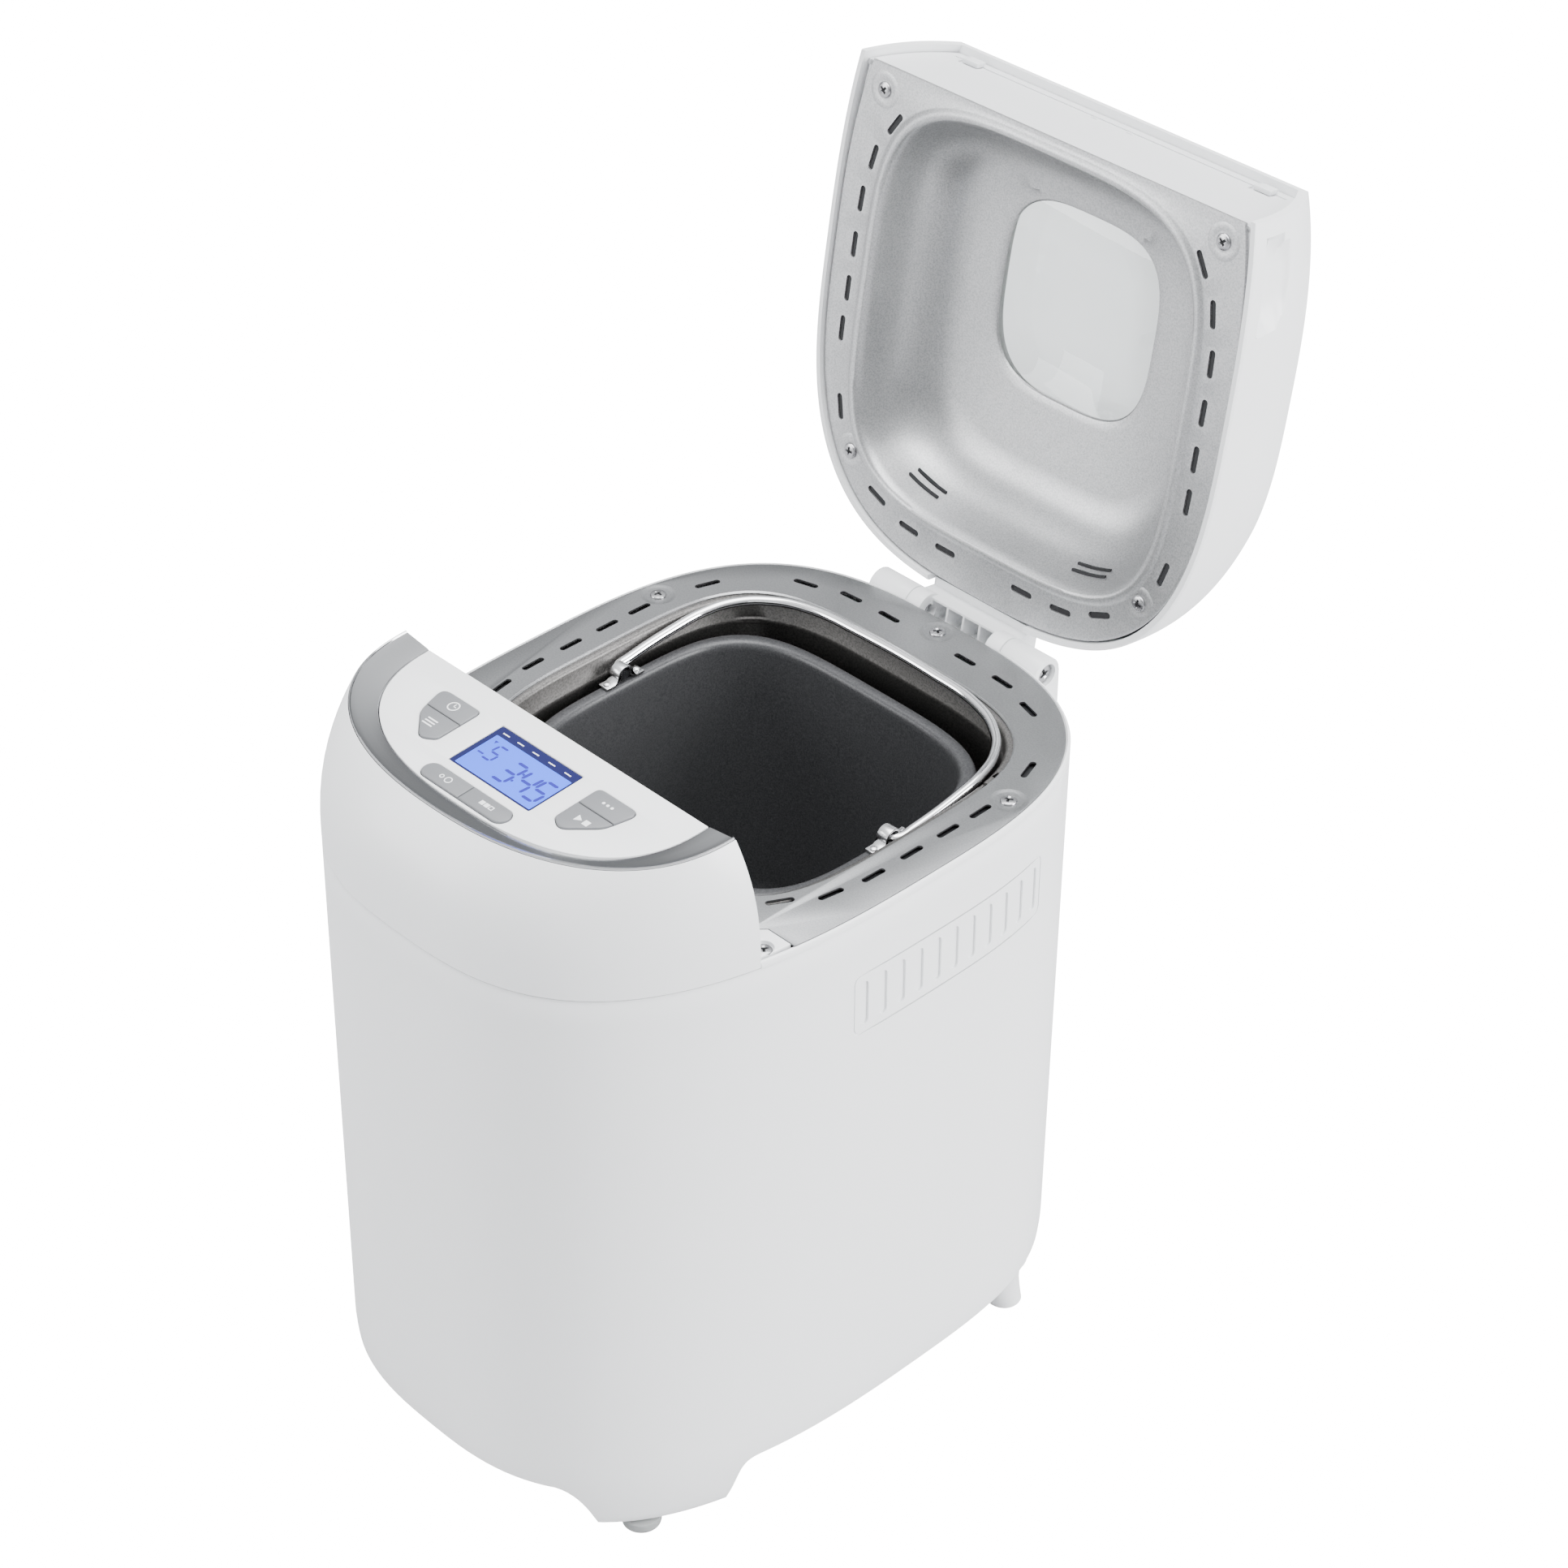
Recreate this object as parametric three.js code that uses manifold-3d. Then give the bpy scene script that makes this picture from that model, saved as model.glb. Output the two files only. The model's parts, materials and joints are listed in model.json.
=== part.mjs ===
// Bread machine with its lid open: a white housing, a steel baking chamber with a lift-out pan and wire
// handle, a control section along the front edge, a belt drive below the chamber and a hinged lid.
// Units are millimetres. +Z is up, +X is the machine's right side, -Y is its front.
import * as THREE from 'three';
import { mergeVertices } from 'three/addons/utils/BufferGeometryUtils.js';
import Module from 'manifold-3d';

const wasm = await Module();
wasm.setup();

// ---- Driving dimensions -------------------------------------------------------------------------------

const TAU = 2 * Math.PI;
const GAP = 0.3; // air between pieces that touch
const WALL = 2.5; // moulded wall thickness

const RIM_Z = 272; // top of the rim plate
const HALF_WIDTH = 108.5; // widest half width of the housing
const MID_Y = 81; // where the housing is widest
const FRONT_REACH = 160; // from the widest place to the front of the rim
const REAR_REACH = 121.5; // from the widest place to the back of the rim
const FRONT_POWER = 2.75; // superellipse powers of the plan outline
const REAR_POWER = 3;
const FRONT_LEAN = 5.5; // how far the front comes forward at the ground
const REAR_LEAN = 4; // how far the back comes forward at the ground

const SEAM_Z = 269; // seam between housing and control section
const ARCH_Z = 28; // lower edge of the housing between the feet
const SKIRT_Z = 5; // bottom of the front foot skirts
const TAPER_Z = 38; // where the foot of the housing starts to taper in
const SKIRT_TAPER = 5; // inward taper at the bottom of the skirts

const PANEL_Z = 317.5; // back edge of the control panel's plane
const PANEL_TILT = 4 * Math.PI / 180; // the panel slopes down to the front
const PROFILE_POWER = 2.8; // how the walls round over towards the top
const BAND = { half: 89.2, reach: 61.8, power: 2.3 }; // outside of the trim band
const BAND_INNER = { half: 76, reach: 51.5, power: 2.5 };
const BAND_DEPTH = 2;
const BAND_RISE = { back: 2.4, slope: 0.04 }; // the band's outer edge stands above the panel's plane
const PANEL_DEPTH = 2.4;
const PANEL_EDGE = 2; // width of the lip behind the panel
const DISPLAY = { x0: -21, x1: 23, y0: -37, y1: -11 };

const CHAMBER = { half: 82, y: 92, reach: 80, power: 4, top: 270.7, floor: 118, wall: 0.8 };
const PAN = { half: 76, y: 92, reach: 68, power: 4, top: 261, floor: 136, wall: 1.5 };
const AXIS_Y = 92; // drive shaft, paddle and pan centre

const HINGE = { y: 207.5, z: 267.3, radius: 7.2, ear0: 26, ear1: 46, seat: 38 };
const OPEN_ANGLE = 99.4 * Math.PI / 180;
const LID_Z = 272.8; // lower edge of the lid when it is shut
const LID_TOP = 317.5; // top of the lid's side walls when it is shut
const LID_FRONT = 0.8; // front edge of the lid when it is shut
const LINER_Z = 274.5; // lower face of the liner's plate when the lid is shut
const DISH = { half: 81, y: 92.2, reach: 81.8, power: 3.9, depth: 31 };
const WINDOW = { half: 39.2, y: 79.2, reach: 39.2, power: 3.4 };

const BAIL = { pivotZ: 264.5, wire: 2 };
const LARGE_PULLEY = 40; // running radii of the belt drive
const SMALL_PULLEY = 8;
const MOTOR_Y = -34;
const BELT_Z = 45;
const BELT_WIDTH = 8;

// ---- Finishes -----------------------------------------------------------------------------------------

const FINISH = {
  white: { color: 0xf1f3f4, roughness: 0.35, metalness: 0 },
  steel: { color: 0xb4b6b8, roughness: 0.42, metalness: 1 },
  lightSteel: { color: 0xc6c7c8, roughness: 0.38, metalness: 1 },
  darkSteel: { color: 0x504e4b, roughness: 0.45, metalness: 0.8 },
  chrome: { color: 0xcfd1d3, roughness: 0.15, metalness: 1 },
  nonStick: { color: 0x2b2c2e, roughness: 0.5, metalness: 0.2 },
  button: { color: 0x97999b, roughness: 0.45, metalness: 0 },
  glass: { color: 0xe8eeee, roughness: 0.05, metalness: 0 },
  display: { color: 0x6f97ff, roughness: 0.2, metalness: 0 },
  rubber: { color: 0xc9cbc9, roughness: 0.8, metalness: 0 },
  darkRubber: { color: 0x202020, roughness: 0.8, metalness: 0 },
  board: { color: 0x2e6b3c, roughness: 0.6, metalness: 0 },
  pulley: { color: 0x3a3b3d, roughness: 0.6, metalness: 0 },
};

// ---- Geometry helpers ---------------------------------------------------------------------------------

const signedPower = (value, exponent) => Math.sign(value) * Math.abs(value) ** exponent;

// Merged vertices, no collapsed triangles, faces outwards.
function tidy(geometry) {
  const source = geometry.clone();
  source.deleteAttribute('normal');
  source.deleteAttribute('uv');
  const merged = mergeVertices(source);
  const position = merged.getAttribute('position');
  const corner = [new THREE.Vector3(), new THREE.Vector3(), new THREE.Vector3()];
  const kept = [];
  let volume = 0;
  for (let i = 0; i < merged.index.count; i += 3) {
    const [a, b, c] = [0, 1, 2].map((k) => merged.index.getX(i + k));
    if (a === b || b === c || c === a) continue;
    kept.push(a, b, c);
    [a, b, c].forEach((index, k) => corner[k].fromBufferAttribute(position, index));
    volume += corner[0].dot(corner[1].cross(corner[2]));
  }
  merged.setIndex(volume < 0 ? kept.reverse() : kept);
  return merged;
}

function toSolid(geometry) {
  const mesh = tidy(geometry);
  const vertProperties = new Float32Array(mesh.getAttribute('position').array);
  const triVerts = new Uint32Array(mesh.index.array);
  return new wasm.Manifold(new wasm.Mesh({ numProp: 3, vertProperties, triVerts }));
}

function toGeometry(solid) {
  const mesh = solid.getMesh();
  const geometry = new THREE.BufferGeometry();
  geometry.setAttribute('position', new THREE.BufferAttribute(mesh.vertProperties, 3));
  geometry.setIndex(new THREE.BufferAttribute(mesh.triVerts, 1));
  return geometry;
}

function join(...geometries) {
  return toGeometry(geometries.map(toSolid).reduce((sum, solid) => sum.add(solid)));
}

function cut(geometry, ...tools) {
  return toGeometry(tools.map(toSolid).reduce((rest, tool) => rest.subtract(tool), toSolid(geometry)));
}

// A skin over rings of equal count. A looped skin closes on its first ring, any other has flat ends.
function skin(rings, looped = false) {
  const count = rings[0].length;
  const index = [];
  const lastBand = looped ? rings.length : rings.length - 1;
  for (let i = 0; i < lastBand; i++) {
    const low = i * count;
    const high = ((i + 1) % rings.length) * count;
    for (let j = 0; j < count; j++) {
      const next = (j + 1) % count;
      index.push(low + j, low + next, high + next, low + j, high + next, high + j);
    }
  }
  if (!looped) {
    const flat = (ring) => ring.map(([x, y]) => new THREE.Vector2(x, y));
    const top = (rings.length - 1) * count;
    for (const [a, b, c] of THREE.ShapeUtils.triangulateShape(flat(rings[0]), [])) index.push(c, b, a);
    for (const [a, b, c] of THREE.ShapeUtils.triangulateShape(flat(rings.at(-1)), [])) {
      index.push(top + a, top + b, top + c);
    }
  }
  const geometry = new THREE.BufferGeometry();
  geometry.setAttribute('position', new THREE.Float32BufferAttribute(rings.flat(2), 3));
  geometry.setIndex(index);
  return geometry;
}

const atHeight = (outline, z) => outline.map(([x, y]) => [x, y, z]);

function box(x0, x1, y0, y1, z0, z1) {
  const geometry = new THREE.BoxGeometry(x1 - x0, y1 - y0, z1 - z0);
  return geometry.translate((x0 + x1) / 2, (y0 + y1) / 2, (z0 + z1) / 2);
}

function rod(radius, start, end, segments = 16) {
  const from = new THREE.Vector3(...start);
  const axis = new THREE.Vector3(...end).sub(from);
  const geometry = new THREE.CylinderGeometry(radius, radius, axis.length(), segments);
  const up = new THREE.Vector3(0, 1, 0);
  const turn = new THREE.Quaternion().setFromUnitVectors(up, axis.clone().normalize());
  return geometry.applyQuaternion(turn).translate(...from.addScaledVector(axis, 0.5));
}

// A turned piece about +Z from (radius, height) pairs.
function turned(profile, segments = 20) {
  const points = profile.map(([radius, z]) => new THREE.Vector2(radius, z));
  return new THREE.LatheGeometry(points, segments).rotateX(Math.PI / 2);
}

function plate(outline, z, thickness, holes = []) {
  const shape = new THREE.Shape(outline.map(([x, y]) => new THREE.Vector2(x, y)));
  shape.holes = holes.map((hole) => new THREE.Path(hole.map(([x, y]) => new THREE.Vector2(x, y))));
  return new THREE.ExtrudeGeometry(shape, { depth: thickness, bevelEnabled: false }).translate(0, 0, z);
}

function circle(x, y, radius, segments = 12) {
  return Array.from({ length: segments }, (_, k) => {
    const angle = TAU * k / segments;
    return [x + radius * Math.cos(angle), y + radius * Math.sin(angle)];
  });
}

// A slot with round ends, centred on (x, y), its length along the given angle.
function slot(x, y, length, width, angle, segments = 2) {
  const points = [];
  for (const end of [0, 1]) {
    for (let k = 0; k <= segments; k++) {
      const turn = angle + Math.PI * (end - 0.5 + k / segments);
      const along = (length - width) / 2 * (end ? -1 : 1);
      points.push([
        x + along * Math.cos(angle) + width / 2 * Math.cos(turn),
        y + along * Math.sin(angle) + width / 2 * Math.sin(turn),
      ]);
    }
  }
  return points;
}

function tube(points, radius, steps, sides = 8) {
  const places = points.map((point) => new THREE.Vector3(...point));
  const path = new THREE.CatmullRomCurve3(places, false, 'centripetal');
  const section = new THREE.Shape(circle(0, 0, radius, sides).map(([x, y]) => new THREE.Vector2(x, y)));
  return new THREE.ExtrudeGeometry(section, { steps, extrudePath: path });
}

// Where a ray from (0, y) at the given angle meets a superellipse about that centre.
function superRay({ half, y, reach, power }, angle, grow = 0) {
  const across = Math.abs(Math.cos(angle) / (half + grow)) ** power;
  const along = Math.abs(Math.sin(angle) / (reach + grow)) ** power;
  const radius = (across + along) ** (-1 / power);
  return [radius * Math.cos(angle), y + radius * Math.sin(angle)];
}

const evenAngles = (count) => Array.from({ length: count }, (_, j) => TAU * j / count);
const superRing = (form, angles, grow = 0) => angles.map((angle) => superRay(form, angle, grow));

// ---- Plan outlines ------------------------------------------------------------------------------------

function superPoint(t, half, front, rear) {
  const isFront = Math.sin(t) < 0;
  const exponent = 2 / (isFront ? FRONT_POWER : REAR_POWER);
  const reach = isFront ? front : rear;
  return [half * signedPower(Math.cos(t), exponent), MID_Y + reach * signedPower(Math.sin(t), exponent)];
}

function housingReaches(inset, z) {
  const lean = (RIM_Z - z) / RIM_Z;
  return [HALF_WIDTH - inset, FRONT_REACH - inset + FRONT_LEAN * lean, REAR_REACH - inset - REAR_LEAN * lean];
}

function housingOutline(inset, z, count = 52) {
  return evenAngles(count).map((t) => superPoint(t, ...housingReaches(inset, z)));
}

// The angle at which a superellipse of this front reach crosses the line y = edge.
const edgeAngle = (front, edge) => Math.asin(((MID_Y - edge) / front) ** (FRONT_POWER / 2));

// The outline behind a straight front edge: an arc round the back, then points along the edge.
function lidOutline(half, front, rear, edge, arcCount = 44, edgeCount = 12) {
  const start = -edgeAngle(front, edge);
  const arc = Array.from({ length: arcCount }, (_, j) => {
    return superPoint(start + (Math.PI - 2 * start) * j / (arcCount - 1), half, front, rear);
  });
  const corner = arc.at(-1)[0];
  const along = Array.from({ length: edgeCount }, (_, j) => [corner * (1 - 2 * (j + 1) / (edgeCount + 1)), edge]);
  return [...arc, ...along];
}

// The outline in front of the panel's back edge, from the left end round the front to the right end.
function seamOutline(inset, count, edge = 0) {
  const [half, front, rear] = housingReaches(inset, SEAM_Z);
  const start = edgeAngle(front, edge);
  return Array.from({ length: count }, (_, j) => {
    return superPoint(Math.PI + start + (Math.PI - 2 * start) * j / (count - 1), half, front, rear);
  });
}

// Half a superellipse in front of the line y = -edge.
function bandOutline({ half, reach, power }, count, grow = 0, edge = 0) {
  const start = Math.asin((edge / (reach + grow)) ** (power / 2));
  return Array.from({ length: count }, (_, j) => {
    const t = Math.PI + start + (Math.PI - 2 * start) * j / (count - 1);
    return [
      (half + grow) * signedPower(Math.cos(t), 2 / power),
      (reach + grow) * signedPower(Math.sin(t), 2 / power),
    ];
  });
}

const mirrored = (points) => points.map(([x, y]) => [-x, y]).reverse();

// ---- Body: casing -------------------------------------------------------------------------------------

const VENT = { count: 11, y0: 46, pitch: 9.3, width: 4, height: 20, z: 231, depth: 1 };
const FOOT = { x: 75.4, y: -40.4, radius: 8 };
const LEG = { x: 88.5, y: 151.5, radius: 7.5, topX: 86, topY: 145, topRadius: 11.5 };
const GLAND = { x: -40, z: 50, y: 198.8, radius: 6 };

// The opening between a front foot skirt and a rear leg, seen from the side.
function sideArch() {
  const shape = new THREE.Shape();
  shape.moveTo(-14, -1);
  shape.lineTo(-13, SKIRT_Z + 2);
  shape.bezierCurveTo(-10, SKIRT_Z + 14, -10, ARCH_Z - 1, -1, ARCH_Z);
  shape.lineTo(230, ARCH_Z);
  shape.lineTo(230, -1);
  const width = 2 * HALF_WIDTH + 20;
  return new THREE.ExtrudeGeometry(shape, { depth: width, bevelEnabled: false, curveSegments: 6 })
    .applyMatrix4(new THREE.Matrix4().makeBasis(
      new THREE.Vector3(0, 1, 0), new THREE.Vector3(0, 0, 1), new THREE.Vector3(1, 0, 0)))
    .translate(-width / 2, 0, 0);
}

// The opening between the two front foot skirts, seen from the front.
function frontArch() {
  const half = [[70, -1], [69, SKIRT_Z + 2], [66.5, SKIRT_Z + 11], [64, ARCH_Z - 5], [58, ARCH_Z]];
  const outline = [...half, ...mirrored(half)];
  const depth = 60;
  return plate(outline, 0, depth).applyMatrix4(new THREE.Matrix4().makeBasis(
    new THREE.Vector3(1, 0, 0), new THREE.Vector3(0, 0, 1), new THREE.Vector3(0, -1, 0))).translate(0, -50, 0);
}

function sideVents() {
  const tools = [];
  for (let k = 0; k < VENT.count; k++) {
    const y = VENT.y0 + VENT.pitch * k;
    const [half, , rear] = housingReaches(0, VENT.z);
    const reach = y < MID_Y ? FRONT_REACH : rear;
    const power = y < MID_Y ? FRONT_POWER : REAR_POWER;
    const wallX = half * (1 - (Math.abs(y - MID_Y) / reach) ** power) ** (1 / power);
    const outline = slot(y, VENT.z, VENT.height, VENT.width, Math.PI / 2, 1);
    for (const side of [-1, 1]) {
      tools.push(plate(outline, 0, 6).applyMatrix4(new THREE.Matrix4().makeBasis(
        new THREE.Vector3(0, 1, 0), new THREE.Vector3(0, 0, 1), new THREE.Vector3(side, 0, 0)))
        .translate(side * (wallX - VENT.depth), 0, 0));
    }
  }
  return tools;
}

const RIM_SCREWS = { right: [96.3, 132.2], left: [-96.3, 132.2], rear: [0, 193.4] };

function screwBoss([x, y]) {
  const isRear = x === 0;
  const rib = isRear ? box(-1.5, 1.5, y + 2, 201, 242, 270.5)
    : box(...[Math.sign(x) * 99, Math.sign(x) * 105].sort((a, b) => a - b), y - 1.5, y + 1.5, 242, 270.5);
  return cut(join(rod(4, [x, y, 240], [x, y, 270.5], 12), rib), rod(1.9, [x, y, 238], [x, y, 272], 10));
}

function housing() {
  const outer = (inset, z) => atHeight(housingOutline(inset, z), z);
  const shell = skin([
    outer(SKIRT_TAPER, SKIRT_Z), outer(0.8, 30), outer(0, TAPER_Z), outer(0, 269.8), outer(0.6, RIM_Z),
    outer(1.2, RIM_Z), outer(1.2, 270.9), outer(WALL, 270.9), outer(WALL, TAPER_Z),
    outer(WALL + 0.8, 30), outer(WALL + SKIRT_TAPER, SKIRT_Z),
  ], true);
  const seam = box(-120, 120, -120, GAP, SEAM_Z, 280);
  const { ear1, y, z, radius } = HINGE;
  const hinge = rod(radius + 0.7, [-ear1 - 1, y, z], [ear1 + 1, y, z], 24);
  const glandHole = rod(GLAND.radius + 0.4, [GLAND.x, 180, GLAND.z], [GLAND.x, 215, GLAND.z]);
  const walls = cut(shell, seam, hinge, glandHole, sideArch(), frontArch(), ...sideVents());
  return join(walls, ...Object.values(RIM_SCREWS).map(screwBoss));
}

function baseCover() {
  const z = ARCH_Z + 0.5;
  const outline = housingOutline(WALL + 1.8, z, 48);
  return plate(outline, z, 2.5);
}

function frontFoot(side) {
  const profile = [[0, 0], [7, 0], [8, 1], [8, 4.6], [3, 4.6], [3, ARCH_Z + 0.2], [0, ARCH_Z + 0.2]];
  return turned(profile, 16).translate(side * FOOT.x, FOOT.y, 0);
}

function rearLeg(side) {
  const levels = [[0, 0.82], [1.5, 1], [10, 1.12], [20, 1.36], [ARCH_Z + 0.2, LEG.topRadius / LEG.radius]];
  return skin(levels.map(([z, size]) => {
    const rise = z / ARCH_Z;
    const x = side * (LEG.x + (LEG.topX - LEG.x) * rise);
    return atHeight(circle(x, LEG.y + (LEG.topY - LEG.y) * rise, LEG.radius * size, 16), z);
  }));
}

// ---- Body: rim and chamber ----------------------------------------------------------------------------

const PLATE = 0.8; // sheet thickness of the rim plate
// Corner pads of the control housing beside the rim plate, each with a sunk screw.
const PAD = { x: 86, y: 15, cut: 4, thickness: 3.6, screwX: 96.4, screwY: 6.6, sink: 1.4 };
const RIM_OPENING = { half: 85.5, y: 92.7, reach: 82.3, power: 4 };
const RIM_SIDE_SLOTS = [[93.8, 119.7], [93.8, 102.5], [93.8, 83.5], [93.8, 63.9], [90.9, 45.2], [81.3, 29]];
const RIM_REAR_SLOTS = [[20.9, 187.3], [41.5, 186.6], [61.1, 180.4], [88.2, 151.6]];
const SLOT_LENGTH = 11;
const SLOT_WIDTH = 2.7;

// The direction in which a superellipse of this form runs past (x, y).
function runAngle(form, x, y) {
  const normalX = signedPower(x / form.half, form.power - 1) / form.half;
  const normalY = signedPower((y - form.y) / form.reach, form.power - 1) / form.reach;
  return Math.atan2(normalX, -normalY);
}

// Slots that run along the edge of an opening, on both sides of the middle.
function slotsAlong(form, places) {
  return places.flatMap(([x, y]) => [x, -x].map((place) => {
    return slot(place, y, SLOT_LENGTH, SLOT_WIDTH, runAngle(form, place, y));
  }));
}

function rimPlate() {
  const [half, front, rear] = housingReaches(1.6, RIM_Z);
  const edge = PAD.y + GAP;
  const arc = lidOutline(half, front, rear, edge, 44, 0);
  const step = [[PAD.x, 0.6], [PAD.x, edge - PAD.cut], [PAD.x + PAD.cut, edge]];
  const outline = [...arc, ...mirrored(step), ...step];
  const holes = [
    superRing(RIM_OPENING, evenAngles(40)),
    ...slotsAlong(RIM_OPENING, [...RIM_SIDE_SLOTS, ...RIM_REAR_SLOTS]),
    ...Object.values(RIM_SCREWS).map(([x, y]) => circle(x, y, 2, 10)),
  ];
  return plate(outline, RIM_Z - PLATE, PLATE, holes);
}

function ovenChamber() {
  const angles = evenAngles(30);
  const ring = (grow, z) => atHeight(superRing(CHAMBER, angles, grow), z);
  const { top, floor, wall } = CHAMBER;
  const vessel = skin([
    ring(-6, floor - wall), ring(-1.5, floor + 2), ring(wall, floor + 12), ring(wall, top - wall),
    ring(5.5, top - wall), ring(5.5, top), ring(0, top), ring(0, floor + 12),
    ring(-2.3, floor + 2.6), ring(-6.5, floor),
  ]);
  const shaft = rod(5, [0, AXIS_Y, floor - 5], [0, AXIS_Y, floor + 5]);
  const terminals = [-1, 1].map((side) => {
    return rod(4.4, [side * HEATER.lead, 0, HEATER.z], [side * HEATER.lead, 20, HEATER.z], 12);
  });
  const sensor = rod(3.4, [SENSOR.x, 0, SENSOR.z], [SENSOR.x, 20, SENSOR.z], 12);
  return cut(vessel, shaft, ...terminals, sensor);
}

const HEATER = { z: 131, lead: 14, radius: 3, ring: { half: 73, y: 92, reach: 71, power: 4 } };
const SENSOR = { x: 0, z: 190, radius: 3 };

function heatingElement() {
  const half = [[HEATER.lead, 4], [HEATER.lead, 13], [HEATER.lead + 6, 20]];
  const angles = Array.from({ length: 9 }, (_, j) => -Math.PI / 2 + 0.55 + (Math.PI - 0.55) * j / 8);
  const side = [...half, ...superRing(HEATER.ring, angles)];
  const route = [...side, ...mirrored(side).slice(1)];
  return tube(route.map(([x, y]) => [x, y, HEATER.z]), HEATER.radius, 40, 6);
}

function temperatureSensor() {
  const profile = [[0, 0], [6, 0], [6, 2], [SENSOR.radius, 2], [SENSOR.radius, 12], [2, 13], [0, 13]];
  return turned(profile, 14).rotateX(-Math.PI / 2).translate(SENSOR.x, CHAMBER.y - CHAMBER.reach - 4, SENSOR.z);
}

// A pan-head screw standing on (x, y, z), its shank pointing down.
function screw(length, head = 3.25, shank = 1.5) {
  return turned([[0, -length], [shank, -length], [shank, 0], [head, 0], [head * 0.75, 1.4], [0, 1.4]], 8);
}

// ---- Body: control section ----------------------------------------------------------------------------

const COVER_STEPS = [0, 0.35, 0.58, 0.76, 0.89, 1];
const onPanel = (geometry) => geometry.rotateX(PANEL_TILT).translate(0, 0, PANEL_Z);
const panelHeight = (y) => PANEL_Z + y * Math.tan(PANEL_TILT);
const bandRise = (y) => BAND_RISE.back - BAND_RISE.slope * y;

// The control housing's wall: the seam outline rises and rounds over to the trim band's outline.
function controlForm(inset, drop, base) {
  const count = 26;
  const low = seamOutline(inset, count, -inset);
  const high = bandOutline(BAND, count, -inset + 1).map(([x, y]) => [x, y - inset]);
  return skin(COVER_STEPS.map((rise) => low.map(([x, y], j) => {
    const blend = rise ** PROFILE_POWER;
    const top = panelHeight(high[j][1]) + bandRise(high[j][1]) - 0.4 - drop;
    const point = [x + (high[j][0] - x) * blend, y + (high[j][1] - y) * blend];
    return [...point, base + (top - base) * rise];
  })));
}

function cornerPad(side) {
  const outline = [
    [PAD.x + GAP, -4], [98, -4], [98.9, 0.6], [100.4, PAD.screwY], [101.6, PAD.y], [PAD.x + PAD.cut, PAD.y],
    [PAD.x + GAP, PAD.y - PAD.cut],
  ];
  return plate(side > 0 ? outline : mirrored(outline), RIM_Z - PAD.thickness, PAD.thickness);
}

function controlHousing() {
  const outer = controlForm(0, 0, SEAM_Z + GAP);
  const hollow = controlForm(WALL, 9, SEAM_Z - 5);
  const lip = box(GAP - BAND_INNER.half, BAND_INNER.half - GAP, GAP - PANEL_EDGE, 5, -20, 0);
  const end = BAND.half + GAP;
  const well = [...bandOutline(BAND, 26, GAP), [end, 5], [-end, 5]];
  const recess = onPanel(cut(plate(well, -BAND_DEPTH - 1.3, 14), lip));
  const opening = onPanel(plate(bandOutline(BAND, 20, -8.4, 3), -20, 20));
  const screws = [-1, 1].flatMap((side) => [[2, RIM_Z - 10], [3.7, RIM_Z - PAD.sink]].map(([radius, z]) => {
    return rod(radius, [side * PAD.screwX, PAD.screwY, z], [side * PAD.screwX, PAD.screwY, RIM_Z + 5], 10);
  }));
  return cut(join(cut(outer, hollow, recess, opening), cornerPad(-1), cornerPad(1)), ...screws);
}

function trimBand() {
  const outer = bandOutline(BAND, 36);
  const inner = bandOutline(BAND_INNER, 36).reverse();
  const low = atHeight([...outer, ...inner], -BAND_DEPTH);
  const high = [...outer.map(([x, y]) => [x, y, bandRise(y)]), ...atHeight(inner, 0)];
  return onPanel(skin([low, high]));
}

// Outlines of the buttons in the panel's plane. A pair shares one opening and is split across its middle.
const KEY = { gap: 0.35, top: 0.6, depth: 5, radius: 3.5 };

function roundedPolygon(corners, radii, segments = 4) {
  return corners.flatMap((corner, k) => {
    const here = new THREE.Vector2(...corner);
    const before = new THREE.Vector2(...corners.at(k - 1)).sub(here).normalize();
    const after = new THREE.Vector2(...corners[(k + 1) % corners.length]).sub(here).normalize();
    const halfTurn = before.angleTo(after) / 2;
    const reach = radii[k] / Math.tan(halfTurn);
    const start = here.clone().addScaledVector(before, reach);
    const end = here.clone().addScaledVector(after, reach);
    return Array.from({ length: segments + 1 }, (_, j) => {
      const t = j / segments;
      return [
        (1 - t) ** 2 * start.x + 2 * t * (1 - t) * here.x + t * t * end.x,
        (1 - t) ** 2 * start.y + 2 * t * (1 - t) * here.y + t * t * end.y,
      ];
    });
  });
}

// The left pair: a rounded triangle with a straight inner side and its lowest corner near the display.
const LEFT_KEYS = roundedPolygon([[-54, -11.5], [-50, -26], [-38, -37], [-32, -33], [-32, -11.5]], [4, 10, 5, 3, 3]);
const LOWER_KEYS = slot(-1, -45.4, 46, 8.6, 0, 5);

function keyOpening(outline) {
  return plate(outline, -PANEL_DEPTH - 2, PANEL_DEPTH + 4);
}

function halfPlane(vertical, place, side) {
  const reach = 90 * side;
  const [low, high] = [place + KEY.gap / 2 * side, place + reach].sort((a, b) => a - b);
  return vertical ? box(low, high, -90, 90, -20, 20) : box(-90, 90, low, high, -20, 20);
}

function shrunk(outline, inset) {
  const points = outline.map(([x, y]) => new THREE.Vector2(x, y));
  return points.map((point, k) => {
    const along = points[(k + 1) % points.length].clone().sub(points.at(k - 1)).normalize();
    return [point.x - along.y * inset, point.y + along.x * inset];
  });
}

function key(outline, vertical, place, side) {
  const isCounterClockwise = !THREE.ShapeUtils.isClockWise(outline.map(([x, y]) => new THREE.Vector2(x, y)));
  const body = plate(shrunk(outline, isCounterClockwise ? GAP : -GAP), KEY.top - KEY.depth, KEY.depth);
  const half = toSolid(body).intersect(toSolid(halfPlane(vertical, place, side)));
  return onPanel(toGeometry(half));
}

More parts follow.
